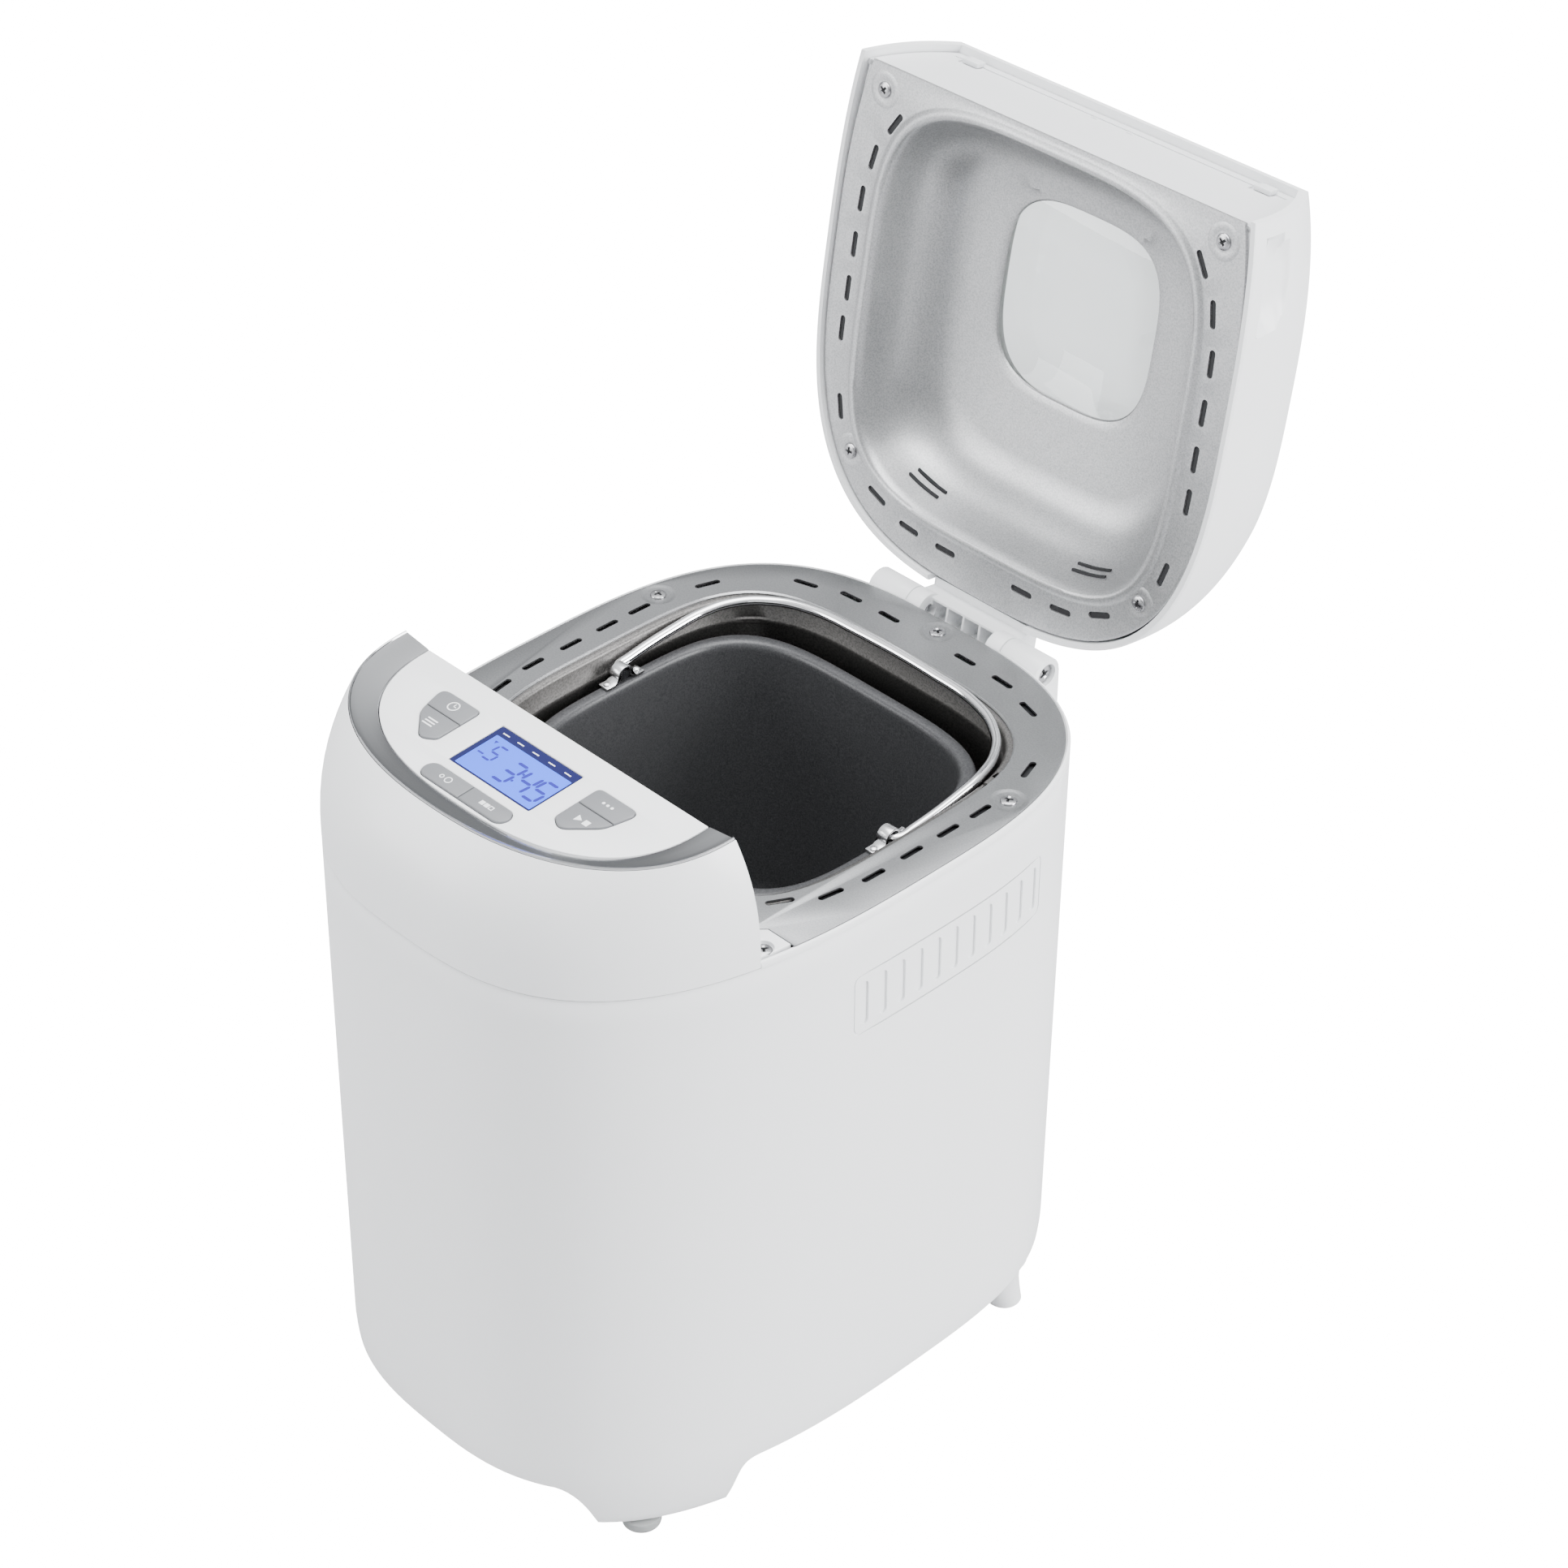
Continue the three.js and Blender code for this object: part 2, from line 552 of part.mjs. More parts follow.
function controlPanel() {
  const outline = bandOutline(BAND_INNER, 40, -GAP, PANEL_EDGE);
  const { x0, x1, y0, y1 } = DISPLAY;
  const body = plate(outline, -PANEL_DEPTH, PANEL_DEPTH, [[[x0, y0], [x1, y0], [x1, y1], [x0, y1]]]);
  const openings = [LEFT_KEYS, mirrored(LEFT_KEYS), LOWER_KEYS].map(keyOpening);
  return onPanel(cut(body, ...openings));
}

function displayPart(margin, z0, z1) {
  const { x0, x1, y0, y1 } = DISPLAY;
  return onPanel(box(x0 - margin, x1 + margin, y0 - margin, y1 + margin, z0, z1));
}

// ---- Body: drive --------------------------------------------------------------------------------------

const SHAFT_RADIUS = 4;

function motorCan() {
  return turned([[0, 64.3], [20, 64.3], [27, 66], [27, 118], [20, 120], [8, 120], [8, 124], [0, 124]], 20)
    .translate(0, MOTOR_Y, 0);
}

function motorBracket() {
  const width = 56;
  const outline = slot(0, (AXIS_Y + MOTOR_Y) / 2, AXIS_Y - MOTOR_Y + width, width, Math.PI / 2, 8);
  return plate(outline, 61, 2.4, [circle(0, MOTOR_Y, 5), circle(0, AXIS_Y, 11.5, 16)]);
}

function pulley(radius, bore, y, segments) {
  const top = BELT_Z + BELT_WIDTH + 2;
  const bottom = BELT_Z - 2;
  const profile = [
    [bore, bottom], [radius + 2, bottom], [radius + 2, BELT_Z - 0.6], [radius, BELT_Z - 0.6],
    [radius, BELT_Z + BELT_WIDTH + 0.6], [radius + 2, BELT_Z + BELT_WIDTH + 0.6], [radius + 2, top], [bore, top],
    [bore, bottom],
  ];
  return turned(profile, segments).translate(0, y, 0);
}

function beltOutline(grow) {
  const distance = AXIS_Y - MOTOR_Y;
  const lean = Math.asin((LARGE_PULLEY - SMALL_PULLEY) / distance);
  const arc = (y, radius, from, to, count) => Array.from({ length: count }, (_, j) => {
    const angle = from + (to - from) * j / (count - 1);
    return [(radius + grow) * Math.cos(angle), y + (radius + grow) * Math.sin(angle)];
  });
  return [
    ...arc(AXIS_Y, LARGE_PULLEY, -lean, Math.PI + lean, 20),
    ...arc(MOTOR_Y, SMALL_PULLEY, Math.PI + lean, TAU - lean, 8),
  ];
}

function driveBelt() {
  return plate(beltOutline(1.7), BELT_Z, BELT_WIDTH, [beltOutline(0.4)]);
}

function shaftBearing() {
  const bore = SHAFT_RADIUS + 0.4;
  const top = CHAMBER.floor - CHAMBER.wall - GAP;
  return turned([[bore, 60], [11, 60], [11, 64], [16, 64], [16, 68], [11, 68], [11, top - 4], [20, top - 4],
    [20, top], [bore, top], [bore, 60]], 12).translate(0, AXIS_Y, 0);
}

// A cup with two upright dogs that catch the paddle shaft's wing.
function driveCoupler() {
  const floor = CHAMBER.floor + 1.2;
  const disc = turned([[SHAFT_RADIUS + GAP, floor], [15, floor], [15, floor + 5], [SHAFT_RADIUS + GAP, floor + 5],
    [SHAFT_RADIUS + GAP, floor]], 20);
  const dogs = [-1, 1].map((side) => {
    const [near, far] = [side * 8, side * 14].sort((a, b) => a - b);
    return box(-4, 4, near, far, floor + 4, floor + 13);
  });
  return join(disc, ...dogs).translate(0, AXIS_Y, 0);
}

// ---- Pan, handle and paddle ---------------------------------------------------------------------------

function breadPan() {
  const angles = evenAngles(28);
  const ring = (grow, z) => atHeight(superRing(PAN, angles, grow), z);
  const { top, floor, wall } = PAN;
  const vessel = skin([
    ring(-16, floor - wall), ring(-10.5, floor + 2), ring(-7.5, floor + 10), ring(-4.4, top - 3),
    ring(-0.8, top - 2.2), ring(0, top - 1), ring(-0.8, top), ring(-4.2, top), ring(-5.6, top - 2.2),
    ring(-5.9, top - 4), ring(-9, floor + 10.5), ring(-11.8, floor + 3), ring(-16.5, floor),
  ]);
  return cut(vessel, rod(5, [0, AXIS_Y, floor - 6], [0, AXIS_Y, floor + 6]));
}

function panBaseRing() {
  const low = CHAMBER.floor + GAP;
  const high = PAN.floor - PAN.wall - GAP;
  const profile = [[42, low], [46, low], [46, high], [38, high], [38, high - 2], [42, high - 2], [42, low]];
  return turned(profile, 24).translate(0, AXIS_Y, 0);
}

function handleBracket(side) {
  const outline = roundedPolygon([[84, 261.3], [100, 261.3], [97, 269], [87, 269]], [0.5, 0.5, 3.5, 3.5], 3);
  const body = plate(outline, 0, 1.2, [circle(AXIS_Y, BAIL.pivotZ, BAIL.wire + 0.8, 10)]);
  return body.applyMatrix4(new THREE.Matrix4().makeBasis(
    new THREE.Vector3(0, 1, 0), new THREE.Vector3(0, 0, 1), new THREE.Vector3(1, 0, 0)))
    .translate(side * 74 - 0.6, 0, 0);
}

function panHandle() {
  const z = BAIL.pivotZ;
  const half = [
    [71.5, AXIS_Y, z], [75.6, AXIS_Y, z], [77.6, AXIS_Y + 1.5, z + 0.2], [78.2, AXIS_Y + 8, z + 1],
    [78, 124, z + 3.9], [76.5, 138, z + 5.6], [72, 150, z + 6.9], [62, 160.5, z + 7.8], [46, 167.5, z + 8.3],
    [20, 170, z + 8.5],
  ];
  return tube([...half, ...half.map(([x, y, level]) => [-x, y, level]).reverse()], BAIL.wire, 44, 6);
}

function paddleShaft() {
  const wingZ = CHAMBER.floor + 8.5;
  const shaft = rod(SHAFT_RADIUS, [0, AXIS_Y, wingZ], [0, AXIS_Y, PAN.floor + 16]);
  const wing = box(-13, 13, AXIS_Y - 2.5, AXIS_Y + 2.5, wingZ, wingZ + 5);
  const flange = rod(9, [0, AXIS_Y, PAN.floor + 0.4], [0, AXIS_Y, PAN.floor + 2.4]);
  return join(shaft, wing, flange);
}

function kneadingPaddle() {
  const low = PAN.floor + 3;
  const hub = rod(8, [0, AXIS_Y, low], [0, AXIS_Y, low + 20], 20);
  const blade = skin([
    atHeight([[4, -2.5], [40, -1.2], [40, 1.2], [4, 2.5]], low),
    atHeight([[4, -2], [36, -0.9], [36, 0.9], [4, 2]], low + 16),
    atHeight([[4, -1.5], [24, -0.8], [24, 0.8], [4, 1.5]], low + 24),
  ]).translate(0, AXIS_Y, 0);
  return cut(join(hub, blade), rod(SHAFT_RADIUS + GAP, [0, AXIS_Y, low - 1], [0, AXIS_Y, PAN.floor + 16.6]));
}

// ---- Lid, modelled shut -------------------------------------------------------------------------------

const COVER_LOW = [105, 170, 119]; // half width, front reach and rear reach of the cover's lower edge
const COVER_HIGH = [98.5, 129.7, 105]; // the same where the top begins
const LID_SLOTS = [
  [78.4, 24.6], [87.2, 41], [90.5, 59.4], [91, 78.8], [91.3, 97.6], [91.6, 115], [86.7, 147.4], [60.5, 176.5],
  [41.3, 183], [20.8, 184],
];
const LID_SCREWS = {
  front_right: [86, 13], front_left: [-86, 13], rear_right: [78, 163.6], rear_left: [-78, 163.6],
};
const BRACKET_TOP = 283;
const CROWN = 1.8; // rise of the lid's top above its side walls

function coverForm(inset, low, top, edge = LID_FRONT + inset) {
  const outline = (level) => lidOutline(...level.map((reach) => reach - inset), edge, 30, 3);
  const base = outline(COVER_LOW);
  const high = outline(COVER_HIGH);
  const rings = COVER_STEPS.map((rise) => base.map(([x, y], j) => {
    const blend = rise ** PROFILE_POWER;
    return [x + (high[j][0] - x) * blend, y + (high[j][1] - y) * blend, low + (top - low) * rise];
  }));
  const roof = high.map(([x, y]) => [x * 0.86, WINDOW.y + (y - WINDOW.y) * 0.86, top + CROWN]);
  return skin([...rings, roof]);
}

function lidCover() {
  const outer = coverForm(0, LID_Z, LID_TOP);
  const hollow = coverForm(WALL, LID_Z - 5, LID_TOP - WALL, -WALL);
  const window = plate(superRing(WINDOW, evenAngles(28), 6.5), LID_TOP - 15, 30);
  const notch = box(-HINGE.ear0 - 0.2, HINGE.ear0 + 0.2, 190, 206, LID_Z - 5, BRACKET_TOP + 0.4);
  return cut(outer, hollow, window, notch);
}

function lidFrame() {
  const rim = (inset, z) => {
    const levels = COVER_LOW.map((reach) => reach - inset);
    return atHeight(lidOutline(...levels, 4.2, 32, 2), z);
  };
  const lip = LINER_Z + 1 + GAP;
  const flange = skin([rim(3.9, lip), rim(3.9, lip + 2), rim(12, lip + 2), rim(12, lip)], true);
  const wall = toSolid(box(-100, 100, 4.2, 6.4, lip, LID_TOP))
    .intersect(toSolid(coverForm(WALL + 2 * GAP, LID_Z - 5, LID_TOP - WALL - GAP)));
  const screws = Object.values(LID_SCREWS).map(([x, y]) => rod(2, [x, y, lip - 1], [x, y, lip + 9], 8));
  return cut(join(flange, toGeometry(wall)), ...screws);
}

function lidLiner() {
  const outline = lidOutline(101.6, 142.6, 115.6, 3, 36, 10);
  const angles = outline.map(([x, y]) => Math.atan2(y - DISH.y, x));
  const dish = (grow, z) => atHeight(superRing(DISH, angles, grow), z);
  const windowRing = (z) => atHeight(superRing(WINDOW, angles), z);
  const top = LINER_Z + DISH.depth;
  const body = skin([
    atHeight(outline, LINER_Z + 1), atHeight(outline, LINER_Z), dish(0, LINER_Z), dish(-5, LINER_Z + 15),
    dish(-11, LINER_Z + 23), dish(-22, top - 2.5), windowRing(top), windowRing(top + 1),
    dish(-21.4, top - 1.5), dish(-10, LINER_Z + 24), dish(-4, LINER_Z + 15.4), dish(1, LINER_Z + 1),
  ].reverse(), true);
  const slots = slotsAlong(DISH, LID_SLOTS).map((hole) => plate(hole, LINER_Z - 3, 6));
  const screws = Object.values(LID_SCREWS).map(([x, y]) => rod(2, [x, y, LINER_Z - 3], [x, y, LINER_Z + 3], 10));
  return cut(body, ...slots, ...screws);
}

const windowPane = (grow, z, thickness) => plate(superRing(WINDOW, evenAngles(28), grow), z, thickness);

function windowSeal() {
  const low = LINER_Z + DISH.depth + 1 + GAP;
  const hole = superRing(WINDOW, evenAngles(28), 3.6);
  return plate(superRing(WINDOW, evenAngles(28), 5.6), low, LID_TOP - GAP - low - 0.6, [hole]);
}

function lidHingeBracket() {
  const { ear0, y, z, radius } = HINGE;
  const reach = ear0 - 0.4;
  const barrels = [-1, 1].map((side) => rod(radius, [side * 18, y, z], [side * reach, y, z], 14));
  const block = box(-reach, reach, y - 5.9, y + 6, z, BRACKET_TOP);
  const tongue = box(-reach, reach, y - 9.3, y - 5, LID_Z + 4, BRACKET_TOP);
  const pockets = [-1, 0, 1].map((k) => box(k * 11.6 - 5, k * 11.6 + 5, y - 4.4, y + 4.4, z - 10, BRACKET_TOP - 3));
  const bores = [-1, 1].map((side) => rod(2.9, [side * 17, y, z], [side * 30, y, z], 10));
  return cut(join(...barrels, block, tongue), ...pockets, ...bores);
}

function hingeEar(side) {
  const { ear0, ear1, seat, y, z, radius } = HINGE;
  const span = [side * ear0, side * ear1].sort((a, b) => a - b);
  const block = cut(box(...span, 190, y + radius - 0.2, z - 22, z),
    skin([atHeight(housingOutline(-GAP - 0.1, 230), 200), atHeight(housingOutline(-GAP - 0.1, 270), 300)]));
  const barrel = rod(radius, [side * ear0, y, z], [side * ear1, y, z], 14);
  const bore = rod(2.9, [side * (ear0 - 1), y, z], [side * (ear1 + 1), y, z], 10);
  const recess = rod(4.8, [side * seat, y, z], [side * (ear1 + 1), y, z], 10);
  return cut(join(block, barrel), bore, recess);
}

function hingeScrew(side) {
  const { seat, y, z } = HINGE;
  const headStart = seat + GAP;
  const shank = rod(2.4, [side * 19, y, z], [side * headStart, y, z], 10);
  const head = rod(4.3, [side * headStart, y, z], [side * (headStart + 3.4), y, z], 10);
  return join(shank, head);
}

function powerGland() {
  const { radius, x, y, z } = GLAND;
  const profile = [[3.6, -8], [radius, -8], [radius, 0], [9, 0], [9, 2.5], [6.5, 4], [5.4, 9], [3.6, 9], [3.6, -8]];
  return turned(profile, 12).rotateX(-Math.PI / 2).translate(x, y, z);
}

// ---- Assembly -----------------------------------------------------------------------------------------

function add(group, name, geometry, finish) {
  const mesh = new THREE.Mesh(tidy(geometry), new THREE.MeshStandardMaterial(FINISH[finish]));
  mesh.name = name;
  group.add(mesh);
}

const SIDES = [['left', -1], ['right', 1]];

function buildBody() {
  const body = new THREE.Group();
  add(body, 'housing', housing(), 'white');
  add(body, 'base_cover', baseCover(), 'white');
  for (const [name, side] of SIDES) {
    add(body, `foot_front_${name}`, frontFoot(side), 'rubber');
    add(body, `foot_rear_${name}`, rearLeg(side), 'white');
    add(body, `hinge_ear_${name}`, hingeEar(side), 'white');
    add(body, `hinge_screw_${name}`, hingeScrew(side), 'chrome');
    const cornerScrew = screw(9).translate(side * PAD.screwX, PAD.screwY, RIM_Z - PAD.sink + GAP);
    add(body, `corner_screw_${name}`, cornerScrew, 'chrome');
  }
  add(body, 'rim_plate', rimPlate(), 'steel');
  for (const [name, [x, y]] of Object.entries(RIM_SCREWS)) {
    add(body, `rim_screw_${name}`, screw(9).translate(x, y, RIM_Z + GAP), 'chrome');
  }
  add(body, 'oven_chamber', ovenChamber(), 'darkSteel');
  add(body, 'heating_element', heatingElement(), 'darkSteel');
  add(body, 'temperature_sensor', temperatureSensor(), 'steel');
  add(body, 'power_gland', powerGland(), 'white');
  return body;
}

function buildControls() {
  const controls = new THREE.Group();
  add(controls, 'control_housing', controlHousing(), 'white');
  add(controls, 'trim_band', trimBand(), 'chrome');
  add(controls, 'control_panel', controlPanel(), 'white');
  add(controls, 'display_window', displayPart(-GAP, -1.6, -0.2), 'glass');
  add(controls, 'display_module', displayPart(2.5, -9, -PANEL_DEPTH - GAP), 'display');
  add(controls, 'control_board', onPanel(box(-60, 60, -46, -8, -12, -10.4)), 'board');
  add(controls, 'button_menu', key(LEFT_KEYS, false, -22, 1), 'button');
  add(controls, 'button_time', key(LEFT_KEYS, false, -22, -1), 'button');
  add(controls, 'button_start_stop', key(mirrored(LEFT_KEYS), false, -22, 1), 'button');
  add(controls, 'button_setting', key(mirrored(LEFT_KEYS), false, -22, -1), 'button');
  add(controls, 'button_size', key(LOWER_KEYS, true, -1, -1), 'button');
  add(controls, 'button_browning', key(LOWER_KEYS, true, -1, 1), 'button');
  return controls;
}

function buildDrive() {
  const drive = new THREE.Group();
  const shaftTop = CHAMBER.floor + 5;
  add(drive, 'motor', motorCan(), 'steel');
  add(drive, 'motor_bracket', motorBracket(), 'steel');
  add(drive, 'motor_shaft', rod(3, [0, MOTOR_Y, 38], [0, MOTOR_Y, 64], 14), 'steel');
  add(drive, 'small_pulley', pulley(SMALL_PULLEY, 3 + GAP, MOTOR_Y, 12), 'pulley');
  add(drive, 'drive_belt', driveBelt(), 'darkRubber');
  add(drive, 'large_pulley', pulley(LARGE_PULLEY, SHAFT_RADIUS + GAP, AXIS_Y, 24), 'pulley');
  add(drive, 'drive_shaft', rod(SHAFT_RADIUS, [0, AXIS_Y, 38], [0, AXIS_Y, shaftTop]), 'steel');
  add(drive, 'shaft_bearing', shaftBearing(), 'steel');
  add(drive, 'drive_coupler', driveCoupler(), 'steel');
  return drive;
}

function buildPan() {
  const pan = new THREE.Group();
  add(pan, 'bread_pan', breadPan(), 'nonStick');
  add(pan, 'pan_base_ring', panBaseRing(), 'darkSteel');
  for (const [name, side] of SIDES) add(pan, `handle_bracket_${name}`, handleBracket(side), 'steel');
  add(pan, 'pan_handle', panHandle(), 'chrome');
  add(pan, 'paddle_shaft', paddleShaft(), 'steel');
  add(pan, 'kneading_paddle', kneadingPaddle(), 'nonStick');
  return pan;
}

// The lid's pieces are placed about the hinge, so that one turn opens it.
function buildLid() {
  const lid = new THREE.Group();
  const pieces = new THREE.Group();
  pieces.position.set(0, -HINGE.y, -HINGE.z);
  add(pieces, 'lid_cover', lidCover(), 'white');
  add(pieces, 'lid_frame', lidFrame(), 'white');
  add(pieces, 'lid_liner', lidLiner(), 'lightSteel');
  add(pieces, 'window_seal', windowSeal(), 'rubber');
  add(pieces, 'inner_window', windowPane(3, LINER_Z + DISH.depth + 1 + GAP, 3), 'glass');
  add(pieces, 'outer_window', windowPane(6, LID_TOP - GAP, 2), 'glass');
  for (const [name, [x, y]] of Object.entries(LID_SCREWS)) {
    add(pieces, `lid_screw_${name}`, screw(8).rotateX(Math.PI).translate(x, y, LINER_Z - GAP), 'chrome');
  }
  add(pieces, 'lid_hinge_bracket', lidHingeBracket(), 'white');
  lid.add(pieces);
  lid.position.set(0, HINGE.y, HINGE.z);
  lid.rotation.x = -OPEN_ANGLE;
  return lid;
}

// The origin is on the ground below the middle of the machine's bounding box.
function buildMachine() {
  const machine = new THREE.Group();
  machine.add(buildBody(), buildControls(), buildDrive(), buildPan(), buildLid());
  machine.updateMatrixWorld(true);
  const bounds = new THREE.Box3().setFromObject(machine, true);
  machine.position.y = -(bounds.min.y + bounds.max.y) / 2;
  return machine;
}

export default buildMachine();
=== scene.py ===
"""Bread machine: the fine surface of every visible piece, built around the fixed frame of the design.

Lengths in the formulas are millimetres in the machine's own layout: x runs to its right, y to its
back from the straight back edge of the control panel, z up from the ground. TO_FRAME, ON_PANEL and
ON_LID turn them into metres in the frame.
"""
import json
import math

import bmesh
import bpy
from mathutils import Matrix, Vector


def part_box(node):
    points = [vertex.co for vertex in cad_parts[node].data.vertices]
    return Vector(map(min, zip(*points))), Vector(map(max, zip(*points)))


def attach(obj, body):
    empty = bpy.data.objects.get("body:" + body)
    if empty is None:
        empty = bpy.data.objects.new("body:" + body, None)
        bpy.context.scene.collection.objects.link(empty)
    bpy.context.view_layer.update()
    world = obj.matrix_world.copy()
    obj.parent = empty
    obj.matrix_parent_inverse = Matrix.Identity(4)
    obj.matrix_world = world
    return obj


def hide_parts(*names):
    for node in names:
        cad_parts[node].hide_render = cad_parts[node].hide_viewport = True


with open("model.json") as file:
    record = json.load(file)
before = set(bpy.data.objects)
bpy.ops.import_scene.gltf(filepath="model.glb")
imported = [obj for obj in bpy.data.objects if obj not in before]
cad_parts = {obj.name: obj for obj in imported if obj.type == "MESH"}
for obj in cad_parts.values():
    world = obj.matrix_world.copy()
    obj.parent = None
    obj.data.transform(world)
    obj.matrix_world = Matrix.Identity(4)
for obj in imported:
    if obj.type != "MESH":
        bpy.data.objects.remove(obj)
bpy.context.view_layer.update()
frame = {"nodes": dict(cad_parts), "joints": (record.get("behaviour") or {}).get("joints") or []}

bl_info = {
    "name": "Bread machine",
    "version": (1, 0, 0),
    "blender": (4, 5, 0),
    "location": "View3D > Sidebar > Bread machine",
    "description": "Builds a bread machine with its lid open around its design frame",
    "category": "Object",
}

# ---- Layout ---------------------------------------------------------------------------------------------

MM = 0.001
TAU = 2 * math.pi
JOINTS = {joint["name"]: joint for joint in frame["joints"]}
AXIS_Y = 92
BACK_EDGE = JOINTS["drive_spin"]["pos_m"][1] - AXIS_Y * MM
HINGE = Vector(JOINTS["lid_hinge"]["pos_m"])
HINGE_Y = (HINGE.y - BACK_EDGE) / MM
HINGE_Z = HINGE.z / MM
LID_OPEN = math.radians(max(abs(limit) for limit in JOINTS["lid_hinge"]["range_deg"]))

RIM_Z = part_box("rim_plate")[1].z / MM
HALF_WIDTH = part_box("housing")[1].x / MM
MID_Y = 81
FRONT_REACH = 160
REAR_REACH = 121.5
FRONT_POWER = 2.75
REAR_POWER = 3
FRONT_LEAN = 5.5
REAR_LEAN = 4
SEAM_Z = 269
ARCH_Z = 28
SKIRT_Z = 5
TAPER_Z = 38
SKIRT_TAPER = 5
WALL = 2.5

PANEL_Z = 317.5
PANEL_TILT = math.radians(4)
PROFILE_POWER = 2.8
BAND = {"half": 89.2, "y": 0, "reach": 61.8, "power": 2.3}
BAND_INNER = {"half": 76, "y": 0, "reach": 51.5, "power": 2.5}
DISPLAY = (-21, 23, -37, -11)

RIM_OPENING = {"half": 85.5, "y": 92.7, "reach": 82.3, "power": 4}
CHAMBER = {"half": 82, "y": 92, "reach": 80, "power": 4}
CHAMBER_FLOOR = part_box("oven_chamber")[0].z / MM + 0.8
PAN = {"half": 76, "y": 92, "reach": 68, "power": 4}
PAN_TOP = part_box("bread_pan")[1].z / MM
PAN_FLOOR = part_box("bread_pan")[0].z / MM + 1.5
BAIL_Z = JOINTS["bail_swing"]["pos_m"][2] / MM

LID_Z = 272.8
LID_TOP = 317.5
LID_FRONT = 0.8
LINER_Z = 274.5
DISH = {"half": 81, "y": 92.2, "reach": 81.8, "power": 3.9}
DISH_DEPTH = 31
WINDOW = {"half": 39.2, "y": 79.2, "reach": 39.2, "power": 3.4}
COVER_LOW = (105, 170, 119)
COVER_HIGH = (98.5, 129.7, 105)
LINER_REACHES = (101.6, 142.6, 115.6)
LINER_EDGE = 3

SIDES = (("left", -1), ("right", 1))
RIM_SCREWS = {"right": (96.3, 132.2), "left": (-96.3, 132.2), "rear": (0, 193.4)}
RIM_SCREW_SEAT = 271.66
CORNER_SCREW = (96.4, 6.6)
LID_SCREWS = {"front_right": (86, 13), "front_left": (-86, 13), "rear_right": (78, 163.6),
              "rear_left": (-78, 163.6)}
VENT_SLOTS = 11
VENT_PITCH = 9.3
EAR_INNER, EAR_OUTER = 26, 46
BRACKET_REACH = 25.6
BARREL = 7.2
HINGE_BORE = 2.9
GLAND = (-40, 198.8, 50)

TO_FRAME = Matrix.Translation((0, BACK_EDGE, 0)) @ Matrix.Scale(MM, 4)
ON_PANEL = TO_FRAME @ Matrix.Translation((0, 0, PANEL_Z)) @ Matrix.Rotation(PANEL_TILT, 4, "X")
OPENED = Matrix.Translation(HINGE) @ Matrix.Rotation(-LID_OPEN, 4, "X") @ Matrix.Translation(-HINGE)
ON_LID = OPENED @ TO_FRAME


def signed_power(value, exponent):
    return math.copysign(abs(value) ** exponent, value)


def super_point(t, half, front, rear):
    """A point of an outline whose front and rear halves are two superellipses."""
    is_front = math.sin(t) < 0
    exponent = 2 / (FRONT_POWER if is_front else REAR_POWER)
    reach = front if is_front else rear
    return half * signed_power(math.cos(t), exponent), MID_Y + reach * signed_power(math.sin(t), exponent)


def super_ray(form, angle, grow=0):
    """Where a ray from the form's centre meets its superellipse."""
    across = abs(math.cos(angle) / (form["half"] + grow)) ** form["power"]
    along = abs(math.sin(angle) / (form["reach"] + grow)) ** form["power"]
    radius = (across + along) ** (-1 / form["power"])
    return radius * math.cos(angle), form["y"] + radius * math.sin(angle)


def even_angles(count):
    return [TAU * k / count for k in range(count)]


def super_ring(form, angles, grow=0):
    return [super_ray(form, angle, grow) for angle in angles]


def level(points, z):
    return [(x, y, z) for x, y in points]


def mirrored(points):
    return [(-x, y) for x, y in reversed(points)]


def housing_reaches(inset, z):
    lean = (RIM_Z - z) / RIM_Z
    return HALF_WIDTH - inset, FRONT_REACH - inset + FRONT_LEAN * lean, REAR_REACH - inset - REAR_LEAN * lean


def housing_ring(inset, z, count=168):
    return level([super_point(t, *housing_reaches(inset, z)) for t in even_angles(count)], z)


def edge_angle(front, edge):
    return math.asin(((MID_Y - edge) / front) ** (FRONT_POWER / 2))


def lid_outline(reaches, inset, edge, arc=150, along=30):
    """The outline behind a straight front edge."""
    half, front, rear = (reach - inset for reach in reaches)
    start = -edge_angle(front, edge)
    points = [super_point(start + (math.pi - 2 * start) * k / (arc - 1), half, front, rear)
              for k in range(arc)]
    corner = points[-1][0]
    return points + [(corner * (1 - 2 * (k + 1) / (along + 1)), edge) for k in range(along)]


def seam_arc(inset, count, edge):
    half, front, rear = housing_reaches(inset, SEAM_Z)
    start = edge_angle(front, edge)
    return [super_point(math.pi + start + (math.pi - 2 * start) * k / (count - 1), half, front, rear)
            for k in range(count)]


def band_arc(form, count, grow=0, edge=0):
    """Half a superellipse in front of the line y = -edge, from the left round the front to the right."""
    half, reach, power = form["half"] + grow, form["reach"] + grow, form["power"]
    start = math.asin((edge / reach) ** (power / 2))
    points = []
    for k in range(count):
        t = math.pi + start + (math.pi - 2 * start) * k / (count - 1)
        points.append((half * signed_power(math.cos(t), 2 / power),
                       reach * signed_power(math.sin(t), 2 / power)))
    return points


def panel_height(y):
    return PANEL_Z + y * math.tan(PANEL_TILT)


def band_rise(y):
    return 2.4 - 0.04 * y


def circle(x, y, radius, count=32):
    return [(x + radius * math.cos(t), y + radius * math.sin(t)) for t in even_angles(count)]


